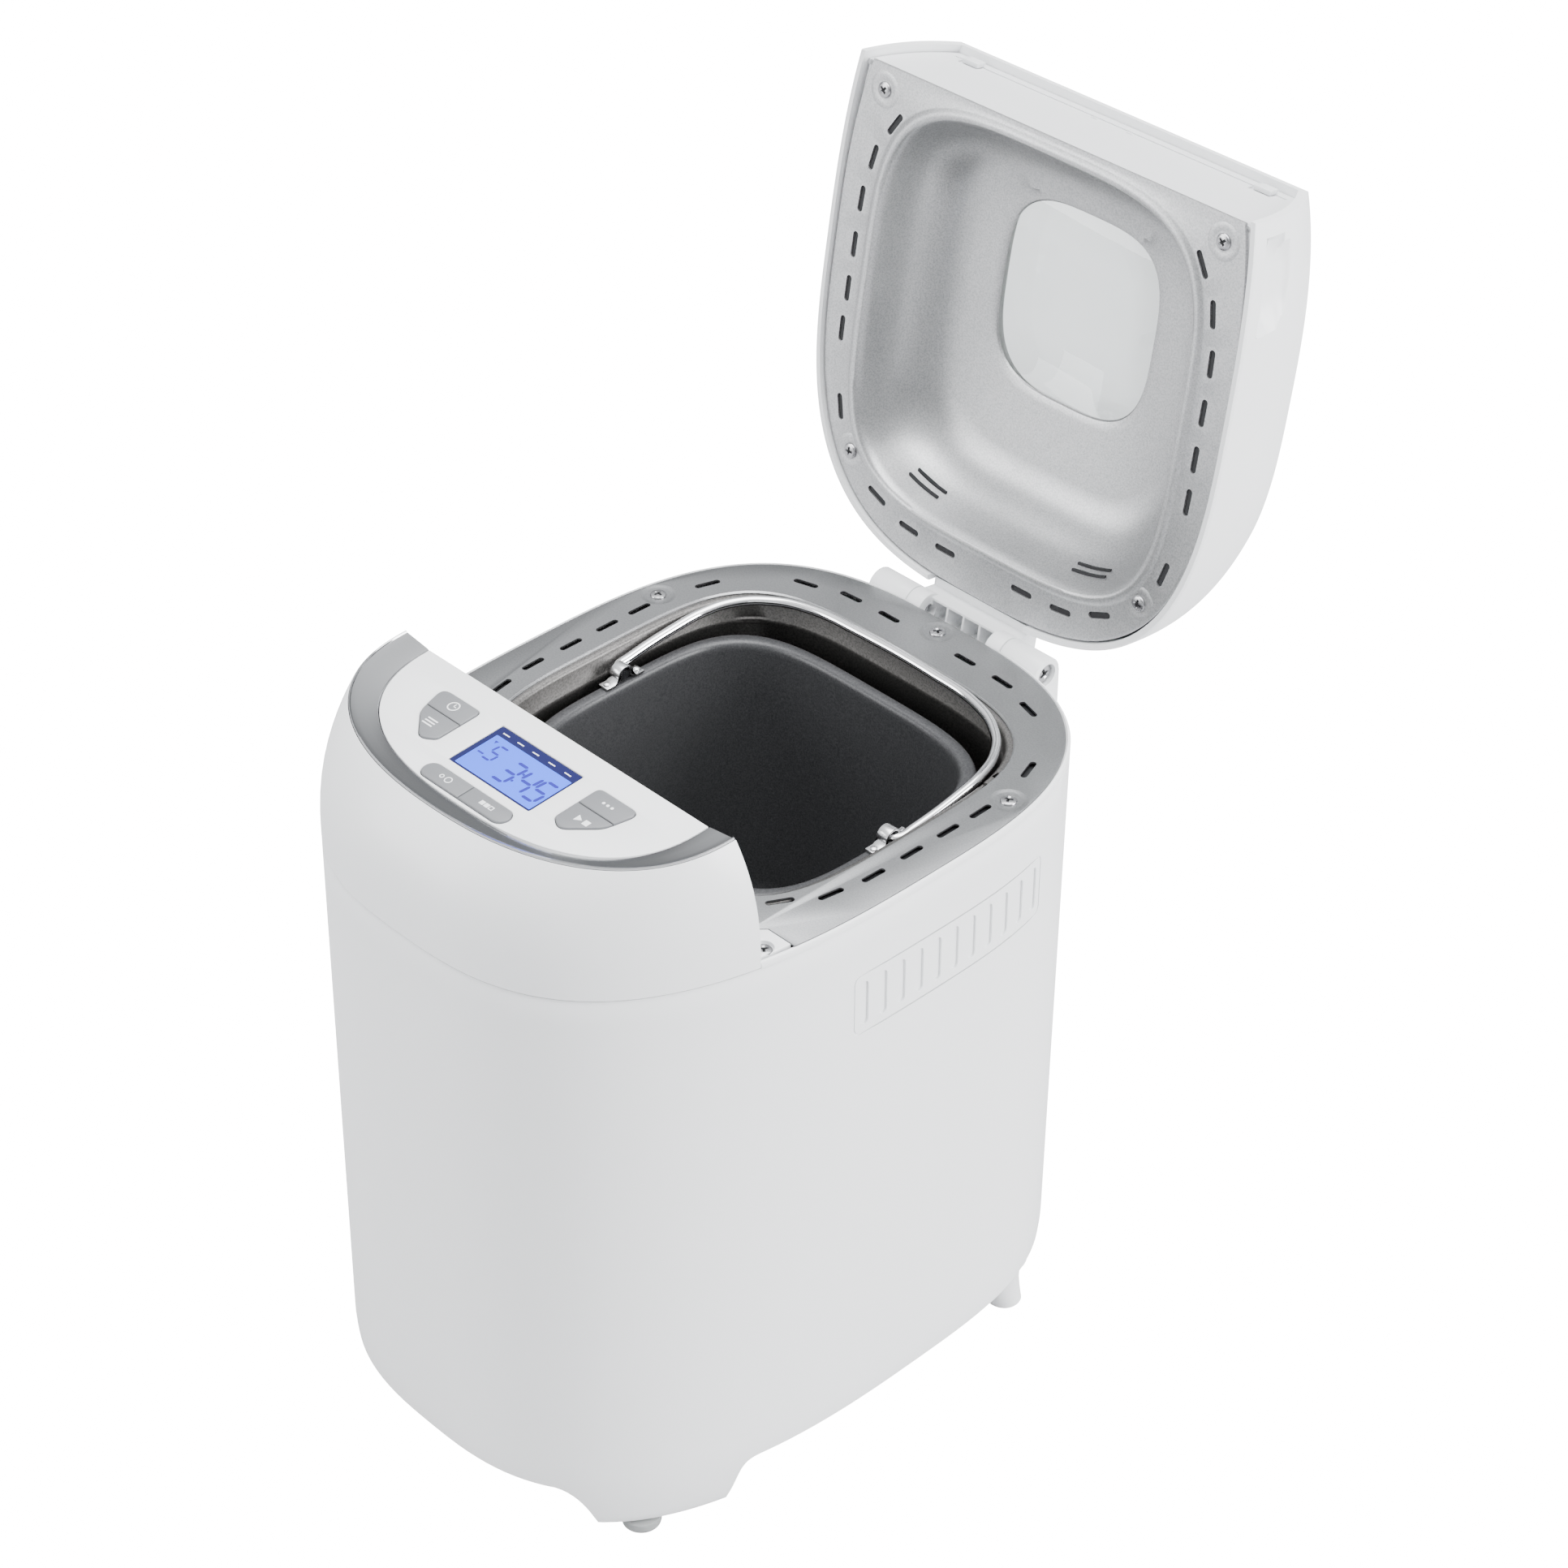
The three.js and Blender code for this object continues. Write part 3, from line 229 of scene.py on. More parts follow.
def slot_outline(x, y, length, width, angle=0, segments=8):
    """A slot with round ends."""
    points = []
    for end in (0, 1):
        for k in range(segments + 1):
            turn = angle + math.pi * (end - 0.5 + k / segments)
            along = (length - width) / 2 * (-1 if end else 1)
            points.append((x + along * math.cos(angle) + width / 2 * math.cos(turn),
                           y + along * math.sin(angle) + width / 2 * math.sin(turn)))
    return points


def rectangle(x0, x1, y0, y1):
    return [(x0, y0), (x1, y0), (x1, y1), (x0, y1)]


def rounded(corners, radii, segments=8):
    """A polygon whose corners are parabolic arcs."""
    points = []
    for k, corner in enumerate(corners):
        here = Vector(corner)
        before = (Vector(corners[k - 1]) - here).normalized()
        after = (Vector(corners[(k + 1) % len(corners)]) - here).normalized()
        reach = radii[k] / math.tan(before.angle(after) / 2)
        start, end = here + before * reach, here + after * reach
        for j in range(segments + 1):
            t = j / segments
            points.append(tuple(start * (1 - t) ** 2 + here * 2 * t * (1 - t) + end * t * t))
    return points


def run_angle(form, x, y):
    """The direction in which a superellipse of this form runs past (x, y)."""
    normal_x = signed_power(x / form["half"], form["power"] - 1) / form["half"]
    normal_y = signed_power((y - form["y"]) / form["reach"], form["power"] - 1) / form["reach"]
    return math.atan2(normal_x, -normal_y)


def slots_along(form, places, length=11, width=2.7):
    return [slot_outline(side * x, y, length, width, run_angle(form, side * x, y))
            for x, y in places for side in (1, -1)]


# ---- Modelling ------------------------------------------------------------------------------------------

def deselect():
    if bpy.context.object and bpy.context.object.mode != "OBJECT":
        bpy.ops.object.mode_set(mode="OBJECT")
    bpy.ops.object.select_all(action="DESELECT")


def take(piece):
    deselect()
    piece.select_set(True)
    bpy.context.view_layer.objects.active = piece


def begin_edit(piece, pick="DESELECT"):
    take(piece)
    bpy.ops.object.mode_set(mode="EDIT")
    bpy.ops.mesh.select_all(action=pick)


def loft(name, rings, ends="flat"):
    """A circle pulled up through rings of equal count. Its ends are flat, open or joined to each other."""
    deselect()
    bpy.ops.mesh.primitive_circle_add(vertices=len(rings[0]), fill_type="NOTHING")
    piece = bpy.context.object
    piece.name = piece.data.name = name
    bpy.ops.object.mode_set(mode="EDIT")
    grid = bmesh.from_edit_mesh(piece.data)
    grid.verts.layers.int.new("place")
    grid.verts.layers.int.new("ring")
    place, ring_layer = grid.verts.layers.int["place"], grid.verts.layers.int["ring"]
    for k, vertex in enumerate(grid.verts):
        vertex[place] = k
        vertex.co = rings[0][k]
    for number, ring in enumerate(rings[1:], 1):
        bpy.ops.mesh.extrude_region_move()
        grid = bmesh.from_edit_mesh(piece.data)
        place, ring_layer = grid.verts.layers.int["place"], grid.verts.layers.int["ring"]
        for vertex in grid.verts:
            if vertex.select:
                vertex[ring_layer] = number
                vertex.co = ring[vertex[place]]
    last = len(rings) - 1
    ring_of = {(vertex[ring_layer], vertex[place]): vertex for vertex in grid.verts}
    count = len(rings[0])
    first_ring, last_ring = [[ring_of[number, k] for k in range(count)] for number in (0, last)]
    if ends == "flat":
        grid.faces.new(first_ring)
        grid.faces.new(last_ring)
    elif ends == "joined":
        for k in range(count):
            after = (k + 1) % count
            grid.faces.new((first_ring[k], first_ring[after], last_ring[after], last_ring[k]))
    bmesh.update_edit_mesh(piece.data)
    bpy.ops.mesh.select_all(action="SELECT")
    bpy.ops.mesh.remove_doubles(threshold=1e-5)
    bpy.ops.mesh.normals_make_consistent(inside=False)
    bpy.ops.object.mode_set(mode="OBJECT")
    for layer in ("place", "ring"):
        piece.data.attributes.remove(piece.data.attributes[layer])
    return piece


def turned(name, profile, x=0, y=0, count=48, ends="flat"):
    """A turned piece about an upright axis, from (radius, height) pairs."""
    return loft(name, [level(circle(x, y, radius, count), z) for radius, z in profile], ends)


def from_curve(name, curve, lift=0):
    """The mesh of a curve, raised by lift and closed."""
    piece = bpy.data.objects.new(name, curve)
    bpy.context.scene.collection.objects.link(piece)
    take(piece)
    bpy.ops.object.convert(target="MESH")
    piece = bpy.context.object
    piece.data.transform(Matrix.Translation((0, 0, lift)))
    begin_edit(piece, "SELECT")
    bpy.ops.mesh.remove_doubles(threshold=1e-3)
    bpy.ops.mesh.normals_make_consistent(inside=False)
    bpy.ops.object.mode_set(mode="OBJECT")
    return piece


def sheet_piece(name, outlines, low, high, edge=0.2):
    """A flat piece between two heights with rounded edges. Outlines inside the first are its holes."""
    curve = bpy.data.curves.new(name, "CURVE")
    curve.dimensions = "2D"
    curve.fill_mode = "BOTH"
    for outline in outlines:
        spline = curve.splines.new("POLY")
        spline.points.add(len(outline) - 1)
        for point, (x, y) in zip(spline.points, outline):
            point.co = (x, y, 0, 1)
        spline.use_cyclic_u = True
    curve.extrude = (high - low) / 2 - edge
    curve.bevel_depth = edge
    curve.bevel_resolution = 2
    curve.offset = -edge
    return from_curve(name, curve, (low + high) / 2)


def printed(name, *outlines):
    """A thin mark that lies on z = 0."""
    return sheet_piece(name, list(outlines), 0, 0.06, 0.01)


def prism_x(name, outline, x0, x1):
    """A piece of constant section along x, from an outline of (y, z) pairs."""
    return loft(name, [[(x, y, z) for y, z in outline] for x in (x0, x1)])


def applied(name):
    """The primitive just added, with its place and size applied."""
    bpy.ops.object.transform_apply(location=True, rotation=True, scale=True)
    piece = bpy.context.object
    piece.name = name
    return piece


def block(name, x0, x1, y0, y1, z0, z1):
    deselect()
    centre = Vector((x0 + x1, y0 + y1, z0 + z1)) / 2
    bpy.ops.mesh.primitive_cube_add(size=1, location=centre, scale=(x1 - x0, y1 - y0, z1 - z0))
    return applied(name)


def rod(name, radius, start, end, count=32):
    deselect()
    start, end = Vector(start), Vector(end)
    turn = (end - start).to_track_quat("Z", "Y").to_euler()
    bpy.ops.mesh.primitive_cylinder_add(
        vertices=count, radius=radius, depth=(end - start).length, location=(start + end) / 2,
        rotation=turn)
    return applied(name)


def wire(name, points, radius, rounds=3):
    """A round wire along a smooth curve through the points."""
    curve = bpy.data.curves.new(name, "CURVE")
    curve.dimensions = "3D"
    spline = curve.splines.new("BEZIER")
    spline.bezier_points.add(len(points) - 1)
    for bezier, point in zip(spline.bezier_points, points):
        bezier.co = point
        bezier.handle_left_type = bezier.handle_right_type = "AUTO"
    curve.resolution_u = 10
    curve.bevel_depth = radius
    curve.bevel_resolution = rounds
    curve.use_fill_caps = True
    return from_curve(name, curve)


def joined(piece, *others):
    take(piece)
    for other in others:
        other.select_set(True)
    if others:
        bpy.ops.object.join()
    return piece


def is_closed(piece):
    grid = bmesh.new()
    grid.from_mesh(piece.data)
    closed = all(edge.is_manifold for edge in grid.edges)
    grid.free()
    return closed


def extent(piece):
    places = [vertex.co for vertex in piece.data.vertices]
    return [sign * max(sign * place[axis] for place in places) for axis in range(3) for sign in (1, -1)]


def combine(piece, operation, *tools):
    """Adds, takes away or intersects tools, and tests that only an addition makes the piece larger."""
    for tool in tools:
        before, kept = extent(piece), piece.data.copy()
        for solver in ("MANIFOLD", "EXACT"):
            if solver == "MANIFOLD" and not (is_closed(piece) and is_closed(tool)):
                continue
            take(piece)
            modifier = piece.modifiers.new("combine", "BOOLEAN")
            modifier.operation = operation
            modifier.solver = solver
            modifier.object = tool
            bpy.ops.object.modifier_apply(modifier=modifier.name)
            grown = bool(piece.data.vertices) and any(
                abs(now - then) > 0.02 and (now > then) == (k % 2 == 0)
                for k, (now, then) in enumerate(zip(extent(piece), before)))
            if operation == "UNION" or (piece.data.vertices and not grown):
                break
            piece.data = kept.copy()
        else:
            raise RuntimeError("the cut by " + tool.name + " failed on " + piece.name)
        bpy.data.objects.remove(tool)
    return piece


def cut(piece, *tools):
    return combine(piece, "DIFFERENCE", *tools)


def round_edges(piece, width, angle=50, segments=2):
    take(piece)
    modifier = piece.modifiers.new("round", "BEVEL")
    modifier.width = width
    modifier.segments = segments
    modifier.limit_method = "ANGLE"
    modifier.angle_limit = math.radians(angle)
    modifier.use_clamp_overlap = True
    bpy.ops.object.modifier_apply(modifier=modifier.name)
    return piece


def paint(piece, finish):
    """Gives a piece, or a part of one before it is joined, its finish."""
    piece.data.materials.clear()
    piece.data.materials.append(FINISHES[finish]())
    return piece


def settle(piece, place, body, slot, finish, *nodes, smooth=32):
    """Puts a piece in its place in the frame, with its finish, its body and the nodes it stands for."""
    piece.name = piece.data.name = piece.name.split(".")[0].lower().replace(" ", "_") + "_shell"
    piece.data.transform(place)
    take(piece)
    bpy.ops.object.shade_smooth_by_angle(angle=math.radians(smooth))
    if finish:
        paint(piece, finish)
    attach(piece, body)
    if nodes:
        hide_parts(*nodes)
    return piece


# ---- Settings and finishes ------------------------------------------------------------------------------

def colour_setting(name, description, default):
    return bpy.props.FloatVectorProperty(
        name=name, description=description, subtype="COLOR", size=3, min=0, max=1, default=default)


class BreadMachineSettings(bpy.types.PropertyGroup):
    shell_colour: colour_setting("Shell", "Colour of the outer plastic", (0.85, 0.86, 0.87))
    button_colour: colour_setting("Buttons", "Colour of the six buttons", (0.17, 0.175, 0.185))
    band_colour: colour_setting("Band", "Colour of the metal band round the panel", (0.46, 0.465, 0.475))
    rim_colour: colour_setting("Rim", "Colour of the steel rim plate", (0.32, 0.325, 0.33))
    liner_colour: colour_setting("Liner", "Colour of the lid's steel liner", (0.50, 0.505, 0.51))
    pan_colour: colour_setting("Pan", "Colour of the non-stick coat", (0.062, 0.063, 0.066))
    display_colour: colour_setting("Display", "Colour of the lit display", (0.05, 0.13, 0.80))
    floor_colour: colour_setting("Floor", "Colour of the floor", (0.62, 0.62, 0.63))
    button_rounding: bpy.props.FloatProperty(
        name="Button rounding", description="Radius of the buttons' top edges", unit="LENGTH",
        subtype="DISTANCE", min=0.0001, max=0.001, default=0.0005)
    digit_stroke: bpy.props.FloatProperty(
        name="Digit stroke", min=0.03, max=0.09, default=0.058,
        description="Half the width of a display stroke, as a share of the digit's height")


def chosen(name):
    value = getattr(bpy.context.scene.bread_machine, name)
    return tuple(value) if hasattr(value, "__len__") else value


def new_group(name, inputs, outputs):
    group = bpy.data.node_groups.new(name, "ShaderNodeTree")
    for title, kind, default in inputs:
        socket = group.interface.new_socket(title, in_out="INPUT", socket_type=kind)
        socket.default_value = default
    for title, kind in outputs:
        group.interface.new_socket(title, in_out="OUTPUT", socket_type=kind)
    return group, group.nodes.new("NodeGroupInput"), group.nodes.new("NodeGroupOutput")


def add_node(nodes, kind, operation=None, **values):
    """A shader node with its operation and the values of its inputs, _ standing for a space."""
    node = nodes.new("ShaderNode" + kind)
    if operation:
        node.operation = operation
    for title, value in values.items():
        node.inputs[title.replace("_", " ")].default_value = value
    return node


def connect(links, *wires):
    for source, output, target, entry in wires:
        links.new(source.outputs[output], target.inputs[entry])


def set_stop(stop, position, colour):
    stop.position = position
    stop.color = (*colour, 1)


def surface_group():
    """Fine grain as a normal, and a slow change of shine as a roughness."""
    if "Surface" in bpy.data.node_groups:
        return bpy.data.node_groups["Surface"]
    group, entry, exit_node = new_group(
        "Surface",
        [("Grain scale", "NodeSocketFloat", 900), ("Grain height", "NodeSocketFloat", 0.1),
         ("Roughness", "NodeSocketFloat", 0.4), ("Spread", "NodeSocketFloat", 0.06)],
        [("Roughness", "NodeSocketFloat"), ("Normal", "NodeSocketVector"), ("Grain", "NodeSocketFloat")])
    nodes = group.nodes
    place = add_node(nodes, "TexCoord")
    grain = add_node(nodes, "TexNoise", Detail=3)
    patches = add_node(nodes, "TexNoise", Scale=28, Detail=4)
    centred = add_node(nodes, "Math", "SUBTRACT")
    centred.inputs[1].default_value = 0.5
    change = add_node(nodes, "Math", "MULTIPLY_ADD")
    bump = add_node(nodes, "Bump", Distance=0.0002)
    connect(group.links,
            (place, "Object", grain, "Vector"), (place, "Object", patches, "Vector"),
            (entry, "Grain scale", grain, "Scale"), (patches, "Fac", centred, 0), (centred, 0, change, 0),
            (entry, "Spread", change, 1), (entry, "Roughness", change, 2), (grain, "Fac", bump, "Height"),
            (entry, "Grain height", bump, "Strength"), (change, 0, exit_node, "Roughness"),
            (bump, "Normal", exit_node, "Normal"), (grain, "Fac", exit_node, "Grain"))
    return group


def finish(name, colour, metallic=0.0, roughness=0.4, spread=0.08, scale=900, grain=0.08, speckle=None,
           **extra):
    """A procedural finish. A speckle is a second colour that the grain brings out."""
    if name in bpy.data.materials:
        return bpy.data.materials[name]
    material = bpy.data.materials.new(name)
    material.use_nodes = True
    nodes, links = material.node_tree.nodes, material.node_tree.links
    shader = nodes["Principled BSDF"]
    shader.inputs["Base Color"].default_value = (*colour, 1)
    shader.inputs["Metallic"].default_value = metallic
    for title, value in extra.items():
        shader.inputs[title.replace("_", " ")].default_value = value
    surface = nodes.new("ShaderNodeGroup")
    surface.node_tree = surface_group()
    for title, value in (("Grain scale", scale), ("Grain height", grain), ("Roughness", roughness),
                         ("Spread", spread)):
        surface.inputs[title].default_value = value
    connect(links, (surface, "Roughness", shader, "Roughness"))
    if grain:
        connect(links, (surface, "Normal", shader, "Normal"))
    if speckle:
        ramp = add_node(nodes, "ValToRGB")
        set_stop(ramp.color_ramp.elements[0], 0.36, speckle)
        set_stop(ramp.color_ramp.elements[1], 0.6, colour)
        connect(links, (surface, "Grain", ramp, "Fac"), (ramp, "Color", shader, "Base Color"))
    return material


FINISHES = {
    "white": lambda: finish("White plastic", chosen("shell_colour"), roughness=0.3, grain=0.03, scale=1400),
    "pale": lambda: finish("Pale grey plastic", (0.70, 0.71, 0.72), roughness=0.42, grain=0.05),
    "panel": lambda: finish("Panel white", (0.86, 0.87, 0.88), roughness=0.22, grain=0),
    "button": lambda: finish("Button grey", chosen("button_colour"), roughness=0.42, grain=0.05),
    "symbol": lambda: finish("Symbol print", (0.85, 0.86, 0.87), roughness=0.5, grain=0),
    "rubber": lambda: finish("Foot rubber", (0.30, 0.31, 0.31), roughness=0.62, grain=0.12),
    "seal": lambda: finish("Seal rubber", (0.36, 0.37, 0.37), roughness=0.5, grain=0.06),
    "screw": lambda: finish("Screw steel", (0.40, 0.40, 0.41), 1.0, 0.26, scale=1200),
    "rim": lambda: finish("Rim steel", chosen("rim_colour"), 0.95, 0.36, 0.1, 1500, 0.16,
                          (0.27, 0.275, 0.285)),
    "chamber": lambda: finish("Chamber steel", (0.17, 0.165, 0.16), 0.8, 0.42, 0.16, 1300, 0.15,
                              (0.11, 0.107, 0.104)),
    "liner": lambda: finish("Liner steel", chosen("liner_colour"), 0.85, 0.38, 0.1, 1500, 0.2,
                            (0.38, 0.385, 0.395)),
    "motor": lambda: finish("Motor steel", (0.45, 0.45, 0.46), 1.0, 0.38),
    "chrome": lambda: finish("Satin chrome", chosen("band_colour"), 1.0, 0.1, 0.06, 700, 0.02),
    "bright": lambda: finish("Polished steel", (0.86, 0.86, 0.87), 1.0, 0.1, 0.04, 600, 0.02),
    "bracket": lambda: finish("Bracket steel", (0.66, 0.66, 0.67), 1.0, 0.26, 0.1, 900, 0.06),
    "non_stick": lambda: finish("Non-stick coat", chosen("pan_colour"), 0.3, 0.38, 0.14, 1500, 0.22,
                                (0.040, 0.041, 0.044)),
    # Painted shade: a near-black finish for plates, strips and blocks put in slots and recesses where only
    # shade is seen.
    "dark": lambda: finish("Dark inside", (0.012, 0.013, 0.015), roughness=0.7, grain=0),
    "glass": lambda: finish("Window glass", (0.97, 0.99, 0.985), roughness=0.02, spread=0.01, grain=0,
                            Transmission_Weight=1.0, IOR=1.45),
    "lcd_frame": lambda: finish("Display frame", (0.010, 0.012, 0.075), roughness=0.12, spread=0.02, grain=0,
                                Specular_IOR_Level=0.2),
    "lcd": lambda: finish("Display area", chosen("display_colour"), roughness=0.1, spread=0.03, grain=0,
                          Specular_IOR_Level=0.2, Emission_Color=(0.02, 0.11, 1.0, 1),
                          Emission_Strength=0.55),
    "digit": lambda: finish("Display digits", (0.03, 0.03, 0.30), roughness=0.3, grain=0,
                            Specular_IOR_Level=0.1),
    "circuit": lambda: finish("Circuit board", (0.03, 0.16, 0.07), roughness=0.45),
    "belt": lambda: finish("Belt rubber", (0.02, 0.02, 0.02), roughness=0.7, grain=0.15),
    "pulley": lambda: finish("Pulley plastic", (0.05, 0.05, 0.055), roughness=0.45),
}
CARRIED = {
    "chamber": ["heating_element"], "pulley": ["small_pulley", "large_pulley"], "belt": ["drive_belt"],
    "motor": ["temperature_sensor", "motor", "motor_bracket", "motor_shaft", "drive_shaft", "shaft_bearing",
              "drive_coupler"],
    "circuit": ["control_board"],
}


# ---- Housing --------------------------------------------------------------------------------------------

def side_arch():
    """The opening under both sides, through the whole machine."""
    curve = [(-13, SKIRT_Z + 2)]
    ends = [Vector(place) for place in ((-13, SKIRT_Z + 2), (-9, SKIRT_Z + 15), (-11, ARCH_Z), (-1, ARCH_Z))]
    for k in range(1, 13):
        t = k / 12
        weights = ((1 - t) ** 3, 3 * t * (1 - t) ** 2, 3 * t * t * (1 - t), t ** 3)
        curve.append(tuple(sum((point * weight for point, weight in zip(ends, weights)), Vector((0, 0)))))
    return prism_x("side arch", [(-14, -2), *curve, (230, ARCH_Z), (230, -2)], -130, 130)


def front_arch():
    half = []
    for k in range(13):
        t = k / 12
        half.append((70 - 8.5 * t ** 3 - 1.5 * t, -2 + (ARCH_Z + 2) * (1 - (1 - t) ** 1.5)))
    outline = half + mirrored(half)
    return loft("front arch", [[(x, y, z) for x, z in outline] for y in (-110, -48)])


def wall_x(y, z):
    half, _, rear = housing_reaches(0, z)
    reach, power = (FRONT_REACH, FRONT_POWER) if y < MID_Y else (rear, REAR_POWER)
    return half * (1 - (abs(y - MID_Y) / reach) ** power) ** (1 / power)


def vent_tool(side, outline, depth):
    """A blind recess in a side wall, from an outline of (y, z) pairs."""
    return loft("vent", [[(side * (wall_x(y, z) + out), y, z) for y, z in outline] for out in (-depth, 4)])


def round_box(x0, x1, y0, y1, radius, segments=6):
    return rounded(rectangle(x0, x1, y0, y1), [radius] * 4, segments)


def build_housing():
    def inset_at(z):
        return SKIRT_TAPER * max(0, (TAPER_Z - z) / (TAPER_Z - SKIRT_Z)) ** 1.7
    outside = [(inset_at(SKIRT_Z) + 1.7, SKIRT_Z), (inset_at(SKIRT_Z) + 0.6, SKIRT_Z + 0.5)]
    outside += [(inset_at(z), z) for z in (6.8, 10, 14, 18, 22, 25, 27, 29, 31, 33, 36, 39)]
    outside += [(0, z) for z in (70, 110, 150, 190, 215, 231, 246, 258, 267.8)]
    outside += [(0.45, 268.5), (0.45, 269.1), (0, 269.5), (0, 271), (0.35, 271.8), (1.0, 272), (1.3, 271.2)]
    inside = [(WALL, 270.9), (WALL, 38), (WALL + 1.2, 30), (WALL + 3, 18),
              (WALL + SKIRT_TAPER + 0.6, SKIRT_Z)]
    shell = loft("Housing", [housing_ring(inset, z) for inset, z in outside + inside], "joined")
    cut(shell, block("seam", -120, 120, -120, 0.2, SEAM_Z + 0.15, 285), side_arch(), front_arch())
    cut(shell, rod("hinge place", 7.9, (-47, HINGE_Y, HINGE_Z), (47, HINGE_Y, HINGE_Z)))
    cut(shell, rod("gland place", 6.4, (GLAND[0], 180, GLAND[2]), (GLAND[0], 215, GLAND[2])))
    for side in (-1, 1):
        outer = vent_tool(side, round_box(40.6, 144.4, 217, 245, 4), 0.35)
        island = vent_tool(side, round_box(41.4, 143.6, 217.8, 244.2, 3.4), 0.8)
        frame_line = cut(outer, island)
        slots = [vent_tool(side, slot_outline(46 + VENT_PITCH * k, 231, 20, 4, math.pi / 2), 0.9)
                 for k in range(VENT_SLOTS)]
        cut(shell, frame_line, joined(*slots))
    for x, y in RIM_SCREWS.values():
        boss = turned("boss", [(1.9, 240), (4, 240), (4, 270.2), (1.9, 270.2)], x, y, 20, "joined")
        joined(shell, boss)
    settle(shell, TO_FRAME, "body", "white_plastic", "white", "housing", smooth=35)

    floor = [(x, y) for x, y, z in housing_ring(4.3, ARCH_Z, 96)]
    base = sheet_piece("Base cover", [floor], 28.5, 31, 0.6)
    settle(base, TO_FRAME, "body", "white_plastic", "white", "base_cover")


def build_feet():
    for name, side in SIDES:
        foot = turned("Front foot " + name, [
            (0.5, 0.35), (5.5, 0.35), (6.2, 0.02), (7.2, 0.02), (7.8, 0.5), (8, 1.4), (7.9, 4.2),
            (7.4, 4.6), (3, 4.6), (3, 28), (0.5, 28)], side * 75.4, -40.4)
        settle(foot, TO_FRAME, "body", "foot_rubber", "rubber", "foot_front_" + name, smooth=40)
        rings = []
        for z, size in ((0.02, 0.72), (0.3, 0.9), (1.2, 1), (4, 1.03), (9, 1.1), (14, 1.19), (20, 1.38),
                        (24, 1.6), (26.5, 1.82), (28.1, 2.02)):
            rise = z / ARCH_Z
            x, y = side * (88.5 - 2.5 * rise), 151.5 - 6.5 * rise
            rings.append(level(circle(x, y, 7.5 * size, 40), z))
        settle(loft("Rear leg " + name, rings), TO_FRAME, "body", "white_plastic", "white",
               "foot_rear_" + name)


# ---- Rim and screws -------------------------------------------------------------------------------------

def cross_screw(name, head=3.25, shank=1.5, length=8):
    """A domed screw with a cross recess, its head on z = 0."""
    dome = [(head, 0), (head, 0.36), (head * 0.93, 0.68), (head * 0.74, 0.9), (head * 0.4, 1.03),
            (0.05, 1.06)]
    stem = [(0.05, -length), (shank * 0.7, -length), (shank, 0.8 - length), (shank, 0)]
    piece = turned(name, stem + dome, count=36)
    arm = head * 0.58
    for turn in (0, math.pi / 2):
        narrow, wide = head * 0.11, head * 0.16
        outline = rectangle(-arm, arm, -wide, wide)
        deep = rectangle(-arm * 0.35, arm * 0.35, -narrow, narrow)
        slot_tool = loft("cross", [level(deep, 0.05), level(outline, 0.9), level(outline, 2)])
        slot_tool.data.transform(Matrix.Rotation(turn, 4, "Z"))
        cut(piece, slot_tool)
    paint(piece, "screw")
    # Painted shade: dark blocks at the bottom of the cross recess stand for the shade inside it.
    shade = []
    for along, across in ((arm * 0.86, head * 0.13), (head * 0.13, arm * 0.86)):
        shade.append(paint(block("shade", -along, along, -across, across, 0.2, 0.5), "dark"))
    return joined(piece, *shade)


def place_screw(node, name, place, body="body", head=3.25, length=8, turn=0.4):
    piece = cross_screw(name, head, 1.5 if head < 4 else 2.3, length)
    piece.data.transform(place @ Matrix.Rotation(turn, 4, "Z"))
    return settle(piece, Matrix.Identity(4), body, "screw_steel", None, node)


def build_screws():
    for k, (name, (x, y)) in enumerate(RIM_SCREWS.items()):
        place_screw("rim_screw_" + name, "Rim screw " + name,
                    TO_FRAME @ Matrix.Translation((x, y, RIM_SCREW_SEAT)), turn=0.5 + k)
    for name, side in SIDES:
        x, y = CORNER_SCREW
        place_screw("corner_screw_" + name, "Corner screw " + name,
                    TO_FRAME @ Matrix.Translation((side * x, y, RIM_Z - 1.45)), turn=0.9)
    for name, (x, y) in LID_SCREWS.items():
        place = ON_LID @ Matrix.Translation((x, y, LINER_Z - 0.05)) @ Matrix.Rotation(math.pi, 4, "X")
        place_screw("lid_screw_" + name, "Lid screw " + name.replace("_", " "), place, "lid", turn=x * 0.1)


